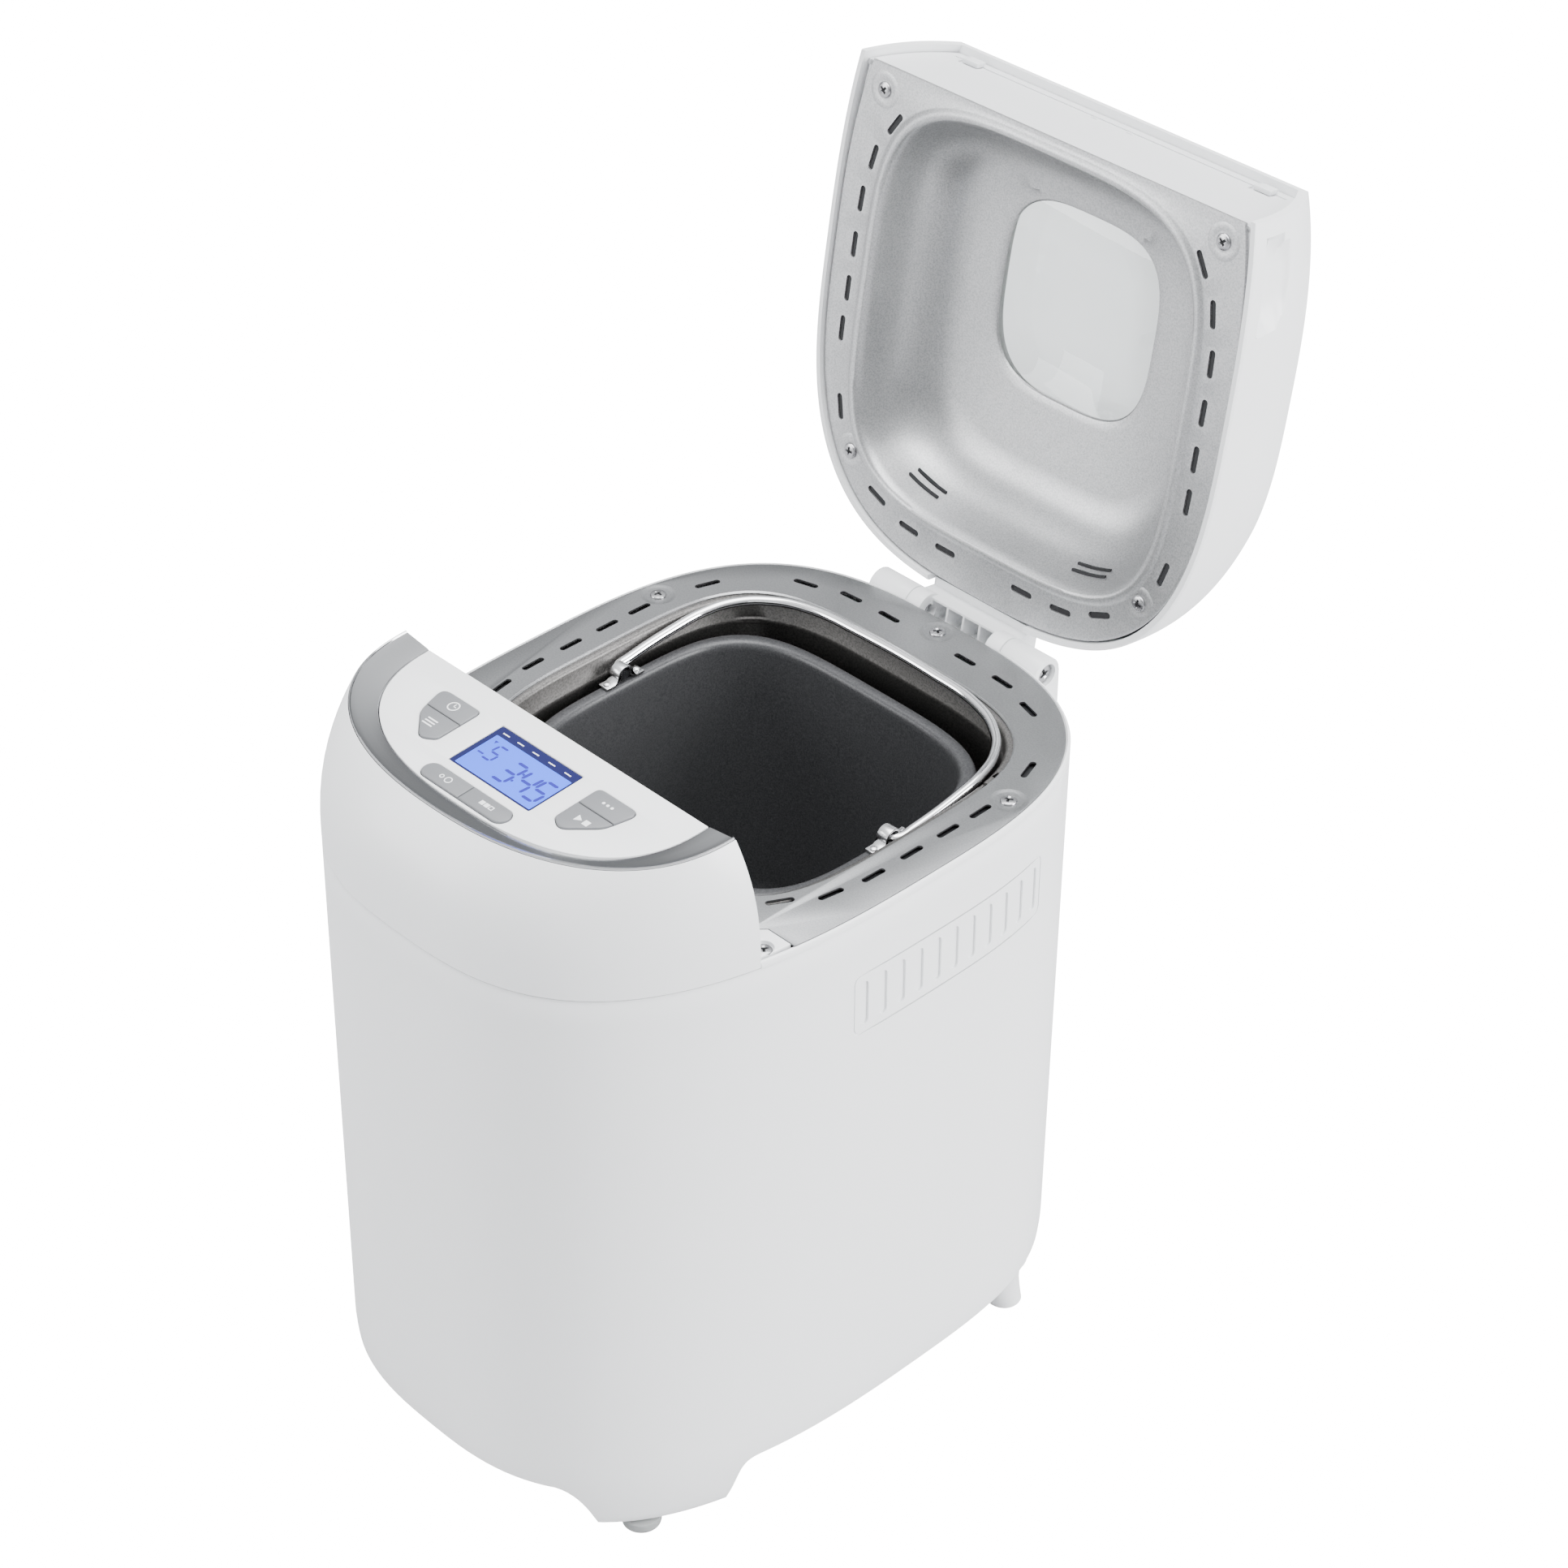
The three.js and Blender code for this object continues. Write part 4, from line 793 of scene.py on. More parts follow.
def build_rim():
    edge = 15.3
    step = [(86, 0.6), (86, edge - 4), (90, edge)]
    arc = lid_outline(housing_reaches(1.6, RIM_Z), 0, edge, 150, 0)
    outline = arc + mirrored(step) + step
    angles = even_angles(120)
    slots = [(93.8, 119.7), (93.8, 102.5), (93.8, 83.5), (93.8, 63.9), (90.9, 45.2), (81.3, 29),
             (20.9, 187.3), (41.5, 186.6), (61.1, 180.4), (88.2, 151.6)]
    holes = [super_ring(RIM_OPENING, angles), *slots_along(RIM_OPENING, slots),
             *(circle(x, y, 7.3, 40) for x, y in RIM_SCREWS.values())]
    plate = loft("Rim plate", [level(shrunk(outline, inset), z) for inset, z in (
        (0.1, RIM_Z - 0.8), (0, RIM_Z - 0.7), (0, RIM_Z - 0.2), (0.06, RIM_Z - 0.06), (0.2, RIM_Z))])
    cut(plate, joined(*(loft("hole", [level(hole, z) for z in (RIM_Z - 3, RIM_Z + 3)]) for hole in holes)))
    seat = RIM_SCREW_SEAT
    dimples = [turned("dimple", [
        (7.4, 271.97), (6.6, 271.9), (5.8, 271.72), (5.2, seat), (1.9, seat), (1.9, 271.25), (7.4, 271.25)],
        x, y, 40, "joined") for x, y in RIM_SCREWS.values()]
    rolled = loft("rolled edge", [level(super_ring(RIM_OPENING, angles, grow), z) for grow, z in (
        (0.9, 271.95), (0.3, 271.98), (-0.3, 271.8), (-0.75, 271.3), (-0.8, 270.6), (-0.3, 270.6),
        (0.1, 271.2), (0.9, 271.3))], "joined")
    joined(plate, rolled, *dimples)
    settle(plate, TO_FRAME, "body", "rim_steel", "rim", "rim_plate", smooth=30)
    # Painted shade: dark plates under the rim's slots, where only shade shows through them.
    shade_under_slots = slots_along(RIM_OPENING, slots, 14, 5)
    shade = joined(*(sheet_piece("Rim slot backing", [hole], 268.9, 269.5, 0.1) for hole in shade_under_slots))
    settle(shade, TO_FRAME, "body", "chamber_steel", "dark")


# ---- Chamber, pan, paddle and handle --------------------------------------------------------------------

def build_chamber():
    angles = even_angles(120)
    floor = CHAMBER_FLOOR
    levels = [(-6, floor - 0.8), (-1.5, floor + 2), (0.3, floor + 6), (0.8, floor + 12), (0.8, 269),
              (1.4, 269.9), (5.2, 269.9), (5.5, 270.3), (5.2, 270.7), (2.6, 270.7), (1.2, 270.55),
              (0.4, 270.1), (0, 269.2), (0, 262), (-0.5, 261.3), (-0.5, 259.5), (0, 258.8), (0, floor + 12),
              (-0.6, floor + 6), (-2.3, floor + 2.6), (-4.2, floor + 0.6), (-6.5, floor)]
    vessel = loft("Oven chamber", [level(super_ring(CHAMBER, angles, grow), z) for grow, z in levels])
    cut(vessel, rod("shaft hole", 5, (0, AXIS_Y, floor - 5), (0, AXIS_Y, floor + 5)))
    for x in (-14, 14):
        cut(vessel, rod("terminal", 4.4, (x, 0, 131), (x, 20, 131)))
    cut(vessel, rod("sensor hole", 3.4, (0, 0, 190), (0, 20, 190)))
    for y in (132, 140):
        cut(vessel, block("notch", 80.2, 84.2, y, y + 3.4, 269.2, 275))
    settle(vessel, TO_FRAME, "body", "chamber_steel", "chamber", "oven_chamber", smooth=40)


def build_pan():
    angles = even_angles(112)
    floor, top = PAN_FLOOR, PAN_TOP
    levels = [(-16, floor - 1.5), (-12.6, floor - 0.4), (-10.5, floor + 2), (-8.6, floor + 6),
              (-7.5, floor + 10), (-4.4, top - 3), (-3.4, top - 2.35), (-1.2, top - 2.3),
              (-0.35, top - 1.9), (0, top - 1.15), (-0.3, top - 0.4), (-1, top), (-3.6, top),
              (-4.6, top - 0.35), (-5.2, top - 1), (-5.6, top - 2.2), (-5.9, top - 4), (-9, floor + 10.5),
              (-10, floor + 6), (-11.8, floor + 3), (-14, floor + 0.9), (-17, floor)]
    vessel = loft("Bread pan", [level(super_ring(PAN, angles, grow), z) for grow, z in levels])
    cut(vessel, rod("shaft hole", 5, (0, AXIS_Y, floor - 6), (0, AXIS_Y, floor + 6)))
    settle(vessel, TO_FRAME, "pan", "non_stick", "non_stick", "bread_pan", smooth=40)
    low, high = CHAMBER_FLOOR + 0.3, floor - 1.8
    ring = turned("Pan base ring", [
        (42, low), (45.6, low), (46, low + 0.4), (46, high), (38, high), (38, high - 2), (42, high - 2)],
        0, AXIS_Y, 64, "joined")
    settle(ring, TO_FRAME, "pan", "non_stick", "non_stick", "pan_base_ring")

    shaft = turned("Paddle shaft", [
        (0.1, 126.5), (4, 126.5), (4, floor + 0.4), (8.6, floor + 0.4), (9, floor + 0.8), (9, floor + 2),
        (8.6, floor + 2.4), (4, floor + 2.4), (4, floor + 15), (3, floor + 16), (0.1, floor + 16)], 0, AXIS_Y)
    wing = round_edges(block("wing", -13, 13, AXIS_Y - 2.5, AXIS_Y + 2.5, 126.5, 131.5), 0.6)
    settle(joined(shaft, wing), TO_FRAME, "paddle", "motor_steel", "motor", "paddle_shaft")
    low = floor + 3
    hub = turned("Kneading paddle", [
        (4.3, low), (7.6, low), (8, low + 0.5), (7.6, low + 12), (6.9, low + 18), (5.9, low + 19.8),
        (4.3, low + 20)], 0, AXIS_Y, 48, "joined")
    rings = []
    for z, reach, half in ((0, 40, 2.4), (3, 40, 2.3), (9, 38.6, 2.1), (15, 35.4, 1.9), (19, 31, 1.7),
                           (22, 26, 1.5), (23.8, 20, 1.2)):
        rings.append([(x, AXIS_Y + y, low + z) for x, y in (
            (5, -half), (reach * 0.6, -half * 0.9), (reach - 0.8, -half * 0.5), (reach, 0),
            (reach - 0.8, half * 0.5), (reach * 0.6, half * 0.9), (5, half))])
    paddle = joined(hub, loft("blade", rings))
    settle(paddle, TO_FRAME, "paddle", "non_stick", "non_stick", "kneading_paddle", smooth=45)


def build_handle():
    half = [(71.5, 92, 0), (75.6, 92, 0), (77.6, 93.5, 0.2), (78.2, 100, 1), (78, 124, 3.9), (76.5, 138, 5.6),
            (72, 150, 6.9), (62, 160.5, 7.8), (46, 167.5, 8.3), (20, 170, 8.5)]
    route = [(x, y, BAIL_Z + z) for x, y, z in half] + [(-x, y, BAIL_Z + z) for x, y, z in reversed(half)]
    settle(wire("Pan handle", route, 2, 5), TO_FRAME, "bail", "handle_steel", "bright", "pan_handle",
           smooth=60)
    for name, side in SIDES:
        profile = [(-9.8, 0), (-5.6, 0)]
        for k in range(13):
            turn = math.pi * (1.16 - 1.32 * k / 12)
            profile.append((3.1 * math.cos(turn), 3.2 + 3.0 * math.sin(turn)))
        profile += [(5.6, 0), (9.8, 0)]
        outside, inside = [], []
        for k, (y, z) in enumerate(profile):
            before, after = profile[max(k - 1, 0)], profile[min(k + 1, len(profile) - 1)]
            along = Vector((after[0] - before[0], after[1] - before[1])).normalized()
            outside.append((y - along.y * 0.9, z + along.x * 0.9))
            inside.append((y, z))
        outline = [(AXIS_Y + y, PAN_TOP + 0.35 + z) for y, z in outside + inside[::-1]]
        strap = prism_x("Handle bracket " + name, outline, side * 71.2, side * 76.4)
        round_edges(strap, 0.25, 60)
        rivets = [turned("rivet", [(1.5, 0.9), (1.4, 1.5), (0.8, 1.9), (0.05, 2)], count=20) for _ in (0, 1)]
        for rivet, y in zip(rivets, (-7.8, 7.8)):
            rivet.data.transform(Matrix.Translation((side * 73.8, AXIS_Y + y, PAN_TOP + 0.3)))
        settle(joined(strap, *rivets), TO_FRAME, "pan", "bracket_steel", "bracket",
               "handle_bracket_" + name)


# ---- Control section ------------------------------------------------------------------------------------

def control_ring(inset, rise, top_drop, base, count=96):
    low = seam_arc(inset, count, -inset)
    high = [(x, y - inset) for x, y in band_arc(BAND, count, 0.6 - inset)]
    blend = rise ** PROFILE_POWER
    points = []
    for (x0, y0), (x1, y1) in zip(low, high):
        top = panel_height(y1) + band_rise(y1) - top_drop
        points.append((x0 + (x1 - x0) * blend, y0 + (y1 - y0) * blend, base + (top - base) * rise))
    return points


def build_cap():
    """The white section under the panel. Its outside runs from the seam up to the trim band."""
    rises = [0, 0.004, 0.012, 0.1, 0.22, 0.34, 0.45, 0.55, 0.64, 0.72, 0.79, 0.85, 0.9, 0.94, 0.97, 0.99, 1]
    rings = [control_ring(0.5 - min(rise, 0.012) * 40, rise, 0.75, SEAM_Z + 0.3) for rise in rises]
    cap = loft("Control section", rings)
    hollow = loft("hollow", [control_ring(WALL, rise, 9, SEAM_Z - 5, 48) for rise in (0, 0.4, 0.7, 0.9, 1)])
    band_floor = loft("well", [
        [(x, y, z) for x, y in [*band_arc(BAND, 96, 0.25), (89.4, 5), (-89.4, 5)]] for z in (-3.3, 14)])
    opening = sheet_piece("opening", [band_arc(BAND, 60, -8.4)], -20, 20, 0.01)
    for tool in (band_floor, opening):
        tool.data.transform(Matrix.Translation((0, 0, PANEL_Z)) @ Matrix.Rotation(PANEL_TILT, 4, "X"))
    side_line = [(97, 272), (93.8, 290), (89.5, 305), (86, 314.2)]
    wall = [(-x, z) for x, z in side_line] + side_line[::-1]
    back = loft("back wall", [[(x, y, z) for x, z in wall] for y in (-2.6, 0)])
    cut(cap, hollow, band_floor, opening)
    pads = []
    pad_outline = [(86.3, -4), (98, -4), (98.9, 0.6), (100.4, 6.6), (101.4, 15), (90, 15), (86.3, 11)]
    for side in (-1, 1):
        outline = pad_outline if side > 0 else mirrored(pad_outline)
        pad = sheet_piece("pad", [outline], RIM_Z - 3.6, RIM_Z, 0.5)
        x, y = side * CORNER_SCREW[0], CORNER_SCREW[1]
        for radius, low in ((3.9, RIM_Z - 1.5), (2, 260)):
            cut(pad, rod("hole", radius, (x, y, low), (x, y, RIM_Z + 5)))
        pads.append(pad)
    joined(cap, back, *pads)
    settle(cap, TO_FRAME, "body", "white_plastic", "white", "control_housing", smooth=35)


def build_band():
    """Satin metal between the white section and the panel, with a fine bead along its outer edge."""
    count = 130
    outer = band_arc(BAND, count)
    inner = band_arc(BAND_INNER, count)

    def between(share, lift):
        return [(x0 + (x1 - x0) * share, y0 + (y1 - y0) * share, band_rise(y0) * (1 - share) + lift)
                for (x0, y0), (x1, y1) in zip(outer, inner)]

    crown = ((0.012, 0.02), (0.035, 0.12), (0.06, 0.02), (0.075, -0.34), (0.1, -0.4), (0.3, -0.32),
             (0.6, -0.18), (0.9, -0.05), (0.97, -0.12))
    section = [level(outer, -2), [(x, y, band_rise(y) - 0.5) for x, y in outer],
               *(between(share, lift) for share, lift in crown), level(inner, -0.5), level(inner, -2)]
    deselect()
    grid = bmesh.new()
    rows = [[grid.verts.new(point) for point in ring] for ring in section]
    for k, row in enumerate(rows):
        after = rows[(k + 1) % len(rows)]
        for j in range(count - 1):
            grid.faces.new((row[j], row[j + 1], after[j + 1], after[j]))
    for end in (0, -1):
        grid.faces.new([row[end] for row in rows])
    bmesh.ops.recalc_face_normals(grid, faces=grid.faces)
    mesh = bpy.data.meshes.new("Trim band")
    grid.to_mesh(mesh)
    grid.free()
    band = bpy.data.objects.new("Trim band", mesh)
    bpy.context.scene.collection.objects.link(band)
    settle(band, ON_PANEL, "body", "trim_chrome", "chrome", "trim_band", smooth=24)


LEFT_KEYS = rounded([(-54, -11.5), (-50, -26), (-38, -37), (-32, -33), (-32, -11.5)], [4, 10, 5, 3, 3])
RIGHT_KEYS = mirrored(LEFT_KEYS)
LOWER_KEYS = slot_outline(-1, -45.4, 46, 8.6, 0, 12)
KEY_GAP = 0.35


def shrunk(outline, inset):
    """The outline moved inwards, whichever way round it runs."""
    area = sum(a[0] * b[1] - b[0] * a[1] for a, b in zip(outline, outline[1:] + outline[:1]))
    inset = inset if area > 0 else -inset
    points = []
    for k, (x, y) in enumerate(outline):
        before, after = outline[k - 1], outline[(k + 1) % len(outline)]
        along = Vector((after[0] - before[0], after[1] - before[1])).normalized()
        points.append((x - along.y * inset, y + along.x * inset))
    return points


def clipped(outline, axis, place, side):
    """The part of an outline on one side of a place along an axis, for an outline that crosses it twice."""
    limit = place + side * KEY_GAP / 2
    points = []
    for k, here in enumerate(outline):
        before = outline[k - 1]
        inside, was_inside = [side * (point[axis] - limit) >= 0 for point in (here, before)]
        if inside != was_inside:
            t = (limit - before[axis]) / (here[axis] - before[axis])
            points.append(tuple(a + (b - a) * t for a, b in zip(before, here)))
        if inside:
            points.append(here)
    return points


def symbol(kind):
    """Small printed marks in the panel's plane, about (0, 0)."""
    pieces = []

    def mark(*outlines):
        pieces.append(printed("mark", *outlines))

    if kind == "bars":
        for k in (-1, 0, 1):
            mark(rectangle(-2.6, 2.6, 1.5 * k - 0.32, 1.5 * k + 0.32))
    elif kind == "clock":
        mark(circle(0, 0, 2.5), circle(0, 0, 2))
        mark(rectangle(-0.2, 0.2, 0, 1.5))
        mark(rectangle(0.2, 1.3, -0.2, 0.2))
    elif kind == "start":
        mark([(-3, -1.7), (-0.2, 0), (-3, 1.7)])
        mark(rectangle(0.8, 3.4, -1.3, 1.3))
    elif kind == "dots":
        for k in (-1, 0, 1):
            mark(circle(2.2 * k, 0, 0.65, 16))
    elif kind == "size":
        mark(circle(-1.9, 0, 1, 20), circle(-1.9, 0, 0.6, 20))
        mark(circle(1.6, 0, 1.6, 24), circle(1.6, 0, 1.2, 24))
    elif kind == "shade":
        mark(rectangle(-3.4, -1.4, -1, 1))
        mark(rectangle(-1, 1, -1, 1))
        mark(rectangle(1.4, 3.4, -1, 1), rectangle(1.75, 3.05, -0.65, 0.65))
    return joined(*pieces)


def build_panel():
    arc = band_arc(BAND_INNER, 110, -0.3, 0.4)
    reach = arc[-1][0]
    back_corners = rounded([arc[-1], (reach, 0), (-reach, 0), arc[0]], [0.2, 0.3, 0.3, 0.2], 2)[3:9]
    holes = [round_box(*DISPLAY, 0.8, 4), LEFT_KEYS, RIGHT_KEYS, LOWER_KEYS]
    panel = sheet_piece("Control panel", [arc + back_corners, *holes], -2.4, 0, 0.35)
    settle(panel, ON_PANEL, "body", "white_plastic", "panel", "control_panel", smooth=40)


def build_buttons():
    keys = (("menu", LEFT_KEYS, 1, -22, -1, "bars", (-41.5, -28.2)),
            ("time", LEFT_KEYS, 1, -22, 1, "clock", (-42, -16.6)),
            ("start_stop", RIGHT_KEYS, 1, -22, -1, "start", (41.5, -28.2)),
            ("setting", RIGHT_KEYS, 1, -22, 1, "dots", (42, -16.6)),
            ("size", LOWER_KEYS, 0, -1, -1, "size", (-12.3, -45.4)),
            ("browning", LOWER_KEYS, 0, -1, 1, "shade", (10.3, -45.4)))
    for name, pair, axis, place, side, kind, centre in keys:
        outline = clipped(shrunk(pair, 0.3), axis, place, side)
        button = sheet_piece("Button " + name.replace("_", " "), [outline], -4.4, 0.6,
                             chosen("button_rounding") / MM)
        paint(button, "button")
        mark = paint(symbol(kind), "symbol")
        mark.data.transform(Matrix.Translation((*centre, 0.57)))
        settle(joined(button, mark), ON_PANEL, "button_" + name, "button_plastic", None, "button_" + name,
               smooth=40)


def digit(value, x, y, size):
    """A seven-segment digit with slanted sides."""
    segments = {"0": "abcdef", "3": "abcdg", "4": "bcfg", "5": "acdfg"}[value]
    half, thick = size * 0.26, size * chosen("digit_stroke")
    bars = {"a": (0, 1, True), "g": (0, 0, True), "d": (0, -1, True), "b": (1, 0.5, False),
            "c": (1, -0.5, False), "f": (-1, 0.5, False), "e": (-1, -0.5, False)}
    pieces = []
    for segment in segments:
        across, up, flat = bars[segment]
        cx, cy = across * half, up * size / 2
        long = (half if flat else size / 4) - thick * 0.55
        outline = [(-long, 0), (-long + thick, thick), (long - thick, thick), (long, 0),
                   (long - thick, -thick), (-long + thick, -thick)]
        if not flat:
            outline = [(py, px) for px, py in outline][::-1]
        outline = [(x + cx + px + 0.12 * (cy + py), y + cy + py) for px, py in outline]
        pieces.append(printed("segment", outline))
    return pieces


def build_display():
    x0, x1, y0, y1 = DISPLAY
    glass = round_box(x0 + 0.25, x1 - 0.25, y0 + 0.25, y1 - 0.25, 0.7, 4)
    window = paint(sheet_piece("Display window", [glass], -2.3, -0.35, 0.12), "lcd_frame")
    lit = round_box(x0 + 2.6, x1 - 0.9, y0 + 0.9, y1 - 5, 0.4, 3)
    area = paint(sheet_piece("area", [lit], -0.36, -0.3, 0.01), "lcd")
    marks = digit("5", -10.8, -23.6, 8.4)
    for value, x in (("3", 1.4), ("4", 10), ("5", 17.6)):
        marks += digit(value, x, -27, 11.4)
    for x, y in ((5.4, -29.6), (6, -24.6)):
        marks.append(printed("dot", rectangle(x - 0.5, x + 0.5, y - 0.5, y + 0.5)))
    marks.append(printed("arrow", [(-16.4, -18.4), (-14.6, -18.4), (-15.5, -20)]))
    marks.append(printed("dash", rectangle(-16.8, -13.8, -27, -26.2)))
    digits = paint(joined(*marks), "digit")
    digits.data.transform(Matrix.Translation((0, 0, -0.31)))
    dashes = paint(joined(*(sheet_piece("dash", [rectangle(x, x + 3.4, -14.1, -13.6)], -0.36, -0.31, 0.01)
                            for x in (-17.5, -9.7, -1.5, 7.2, 15.8))), "symbol")
    settle(joined(window, area, digits, dashes), ON_PANEL, "body", "display_glass", None,
           "display_window", smooth=30)
    board = round_box(x0 - 2.5, x1 + 2.5, y0 - 2.5, y1 + 2.5, 1, 4)
    module = sheet_piece("Display module", [board], -9.6, -5, 0.4)
    settle(module, ON_PANEL, "body", "display_back", "circuit", "display_module")


# ---- Lid, modelled shut and then opened ------------------------------------------------------------------

def cover_ring(inset, rise, low, top, edge, arc=110, along=40):
    base = lid_outline(COVER_LOW, inset, edge, arc, along)
    high = lid_outline(COVER_HIGH, inset, edge, arc, along)
    blend = rise ** PROFILE_POWER
    return [(x0 + (x1 - x0) * blend, y0 + (y1 - y0) * blend, low + (top - low) * rise)
            for (x0, y0), (x1, y1) in zip(base, high)]


def scoop_depth(y, z):
    """How far the finger scoop beside the lid's front edge goes in at a place on the wall."""
    along = (y - 25.5) / 17.5
    up = (z - (LINER_Z + 5)) / 17
    if abs(along) >= 1 or up <= 0 or up >= 1:
        return 0
    edge = 1 - along ** 4
    reach = max(0.0, 1 - up / max(edge ** 0.5, 0.05))
    return 6.4 * min(1, edge * 2.5) * reach ** 0.6


def pressed_in(ring):
    return [(x - math.copysign(scoop_depth(y, z), x), y, z) if abs(x) > 60 else (x, y, z) for x, y, z in ring]


def build_cover():
    rises = [0, 0.01, 0.03, *(0.04 + 0.018 * k for k in range(30)),
             0.62, 0.67, 0.72, 0.77, 0.82, 0.86, 0.9, 0.93, 0.96, 0.98, 1]
    rings = [pressed_in(cover_ring(0.5 * max(0, 1 - rise / 0.03), rise, LID_Z, LID_TOP, LID_FRONT, 190, 40))
             for rise in rises]
    high = [(x, y) for x, y, z in rings[-1]]
    for share, lift in ((0.985, 0.5), (0.96, 0.9), (0.93, 1.25), (0.86, 1.8)):
        rings.append([(x * share, WINDOW["y"] + (y - WINDOW["y"]) * share, LID_TOP + lift) for x, y in high])
    cover = loft("Lid cover", rings)
    levels = (0, *(0.1 + 0.018 * k for k in range(30)), 0.66, 0.76, 0.83, 0.89, 0.95, 1)
    hollow = loft("hollow", [pressed_in(cover_ring(WALL, rise, LID_Z - 5, LID_TOP - WALL, -WALL, 190, 10))
                             for rise in levels])
    window = loft("window", [level(super_ring(WINDOW, even_angles(96), 6.5), z)
                             for z in (LID_TOP - 15, LID_TOP + 15)])
    notch = block("notch", -26.2, 26.2, 190, 206, LID_Z - 5, 283.4)
    cut(cover, hollow, window, notch)
    settle(cover, ON_LID, "lid", "white_plastic", "white", "lid_cover", smooth=28)


def build_lid_frame():
    lip = LINER_Z + 1.3
    rings = [level(lid_outline(COVER_LOW, inset, 4.2, 120, 20), z)
             for inset, z in ((3.9, lip), (3.9, lip + 2), (12, lip + 2), (12, lip))]
    flange = loft("Lid frame", rings, "joined")
    wall = block("wall", -100, 100, 4.2, 6.4, lip, LID_TOP)
    form = loft("form", [cover_ring(3.1, rise, LID_Z - 5, LID_TOP - 2.8, 0, 90, 10)
                         for rise in (0, 0.2, 0.35, 0.47, 0.58, 0.68, 0.76, 0.83, 0.89, 0.95, 1)])
    combine(wall, "INTERSECT", form)
    groove = block("groove", -84, 84, 3.6, 4.9, LID_TOP - 7.6, LID_TOP - 6.6)
    cut(wall, groove)
    clips = []
    for x in (-74, 74):
        clips.append(round_edges(block("lug", x - 4, x + 4, 2.6, 4.6, LID_TOP - 9.5, LID_TOP - 4.6), 0.4))
        cut(wall, block("clip place", x - 5.4, x + 5.4, 3.8, 4.8, LID_TOP - 11, LID_TOP - 6))
    for x in (-9, 9):
        mark = block("mark", x - 1.6, x + 1.6, 3.7, 4.4, LID_TOP - 9.4, LID_TOP - 8.4)
        clips.append(round_edges(mark, 0.2))
    frame_piece = joined(flange, wall, *clips)
    for x, y in LID_SCREWS.values():
        cut(frame_piece, rod("hole", 2, (x, y, lip - 1), (x, y, lip + 9)))
    settle(frame_piece, ON_LID, "lid", "white_plastic", "pale", "lid_frame")


def build_liner():
    outline = lid_outline(LINER_REACHES, 0, LINER_EDGE, 150, 40)

    def ringed(form, grow, height):
        """A ring of a form with as many points as the liner's outline, each in the same direction."""
        angles = [math.atan2(y - form["y"], x) for x, y in outline]
        return level(super_ring(form, angles, grow), LINER_Z + height)

    edge = ((0, 1), (0, 0.3), (0.35, 0.02), (1.2, 0))
    face = ((5.2, 0), (4.4, -0.3), (3.4, -0.85), (2.1, -1.1), (0.9, -0.8), (0, 0.3), (-0.9, 3), (-2.5, 8),
            (-4.6, 14), (-7, 18.5), (-10.4, 22.6), (-15, 26.4), (-20.5, 28.8), (-27, 29.8))
    hole = ((4, -0.3), (1.6, 0), (0.5, 0.3), (0, 1), (1.5, 1))
    behind = ((-26.4, 30.8), (-19.6, 29.8), (-9.4, 23.6), (-3.6, 14.2), (0, 3.6), (1, 1))
    rings = [level(lid_outline(LINER_REACHES, inset, LINER_EDGE + inset, 150, 40), LINER_Z + height)
             for inset, height in edge]
    rings += [ringed(DISH, grow, height) for grow, height in face]
    rings += [ringed(WINDOW, grow, DISH_DEPTH + height) for grow, height in hole]
    rings += [ringed(DISH, grow, height) for grow, height in behind]
    liner = loft("Lid liner", rings[::-1], "joined")
    places = [(78.4, 24.6), (87.2, 41), (90.5, 59.4), (91, 78.8), (91.3, 97.6), (91.6, 115), (86.7, 147.4),
              (60.5, 176.5), (41.3, 183), (20.8, 184)]
    cut(liner, joined(*(loft("slot", [level(slot, LINER_Z + z) for z in (-3, 2)])
                        for slot in slots_along(DISH, places))))
    for x, y in LID_SCREWS.values():
        cut(liner, rod("hole", 2, (x, y, LINER_Z - 3), (x, y, LINER_Z + 3)))
        ring = turned("dimple ring", [(3.6, 0.05), (5, -0.14), (6.6, -0.16), (7.6, 0.05)], x, y, 36, "joined")
        ring.data.transform(Matrix.Translation((0, 0, LINER_Z)))
        joined(liner, ring)
    # Painted shade: thin dark strips stand for the shade inside two slits on each side of the dish.
    slits = []
    for side in (-1, 1):
        for depth in (9.5, 13.5):
            band = [super_ray(DISH, math.atan2(76, side * (36 + 19 * k / 8)), -3 - (depth - 8) * 0.35)
                    for k in range(9)]
            strip = level(band, LINER_Z + depth - 0.55) + level(band[::-1], LINER_Z + depth + 0.55)
            slits.append(loft("slit", [[(x, y + back, z) for x, y, z in strip] for back in (-0.35, 0.85)]))
    shade = joined(*slits)
    settle(liner, ON_LID, "lid", "liner_steel", "liner", "lid_liner", smooth=36)
    # Painted shade: dark plates under the liner's slots, where only shade shows through them.
    shade_under_slots = joined(*(sheet_piece("Liner slot backing", [slot], LINER_Z + 0.75, LINER_Z + 1.2, 0.1)
                       for slot in slots_along(DISH, places, 14, 4.4)))
    settle(joined(shade_under_slots, shade), ON_LID, "lid", "liner_steel", "dark")


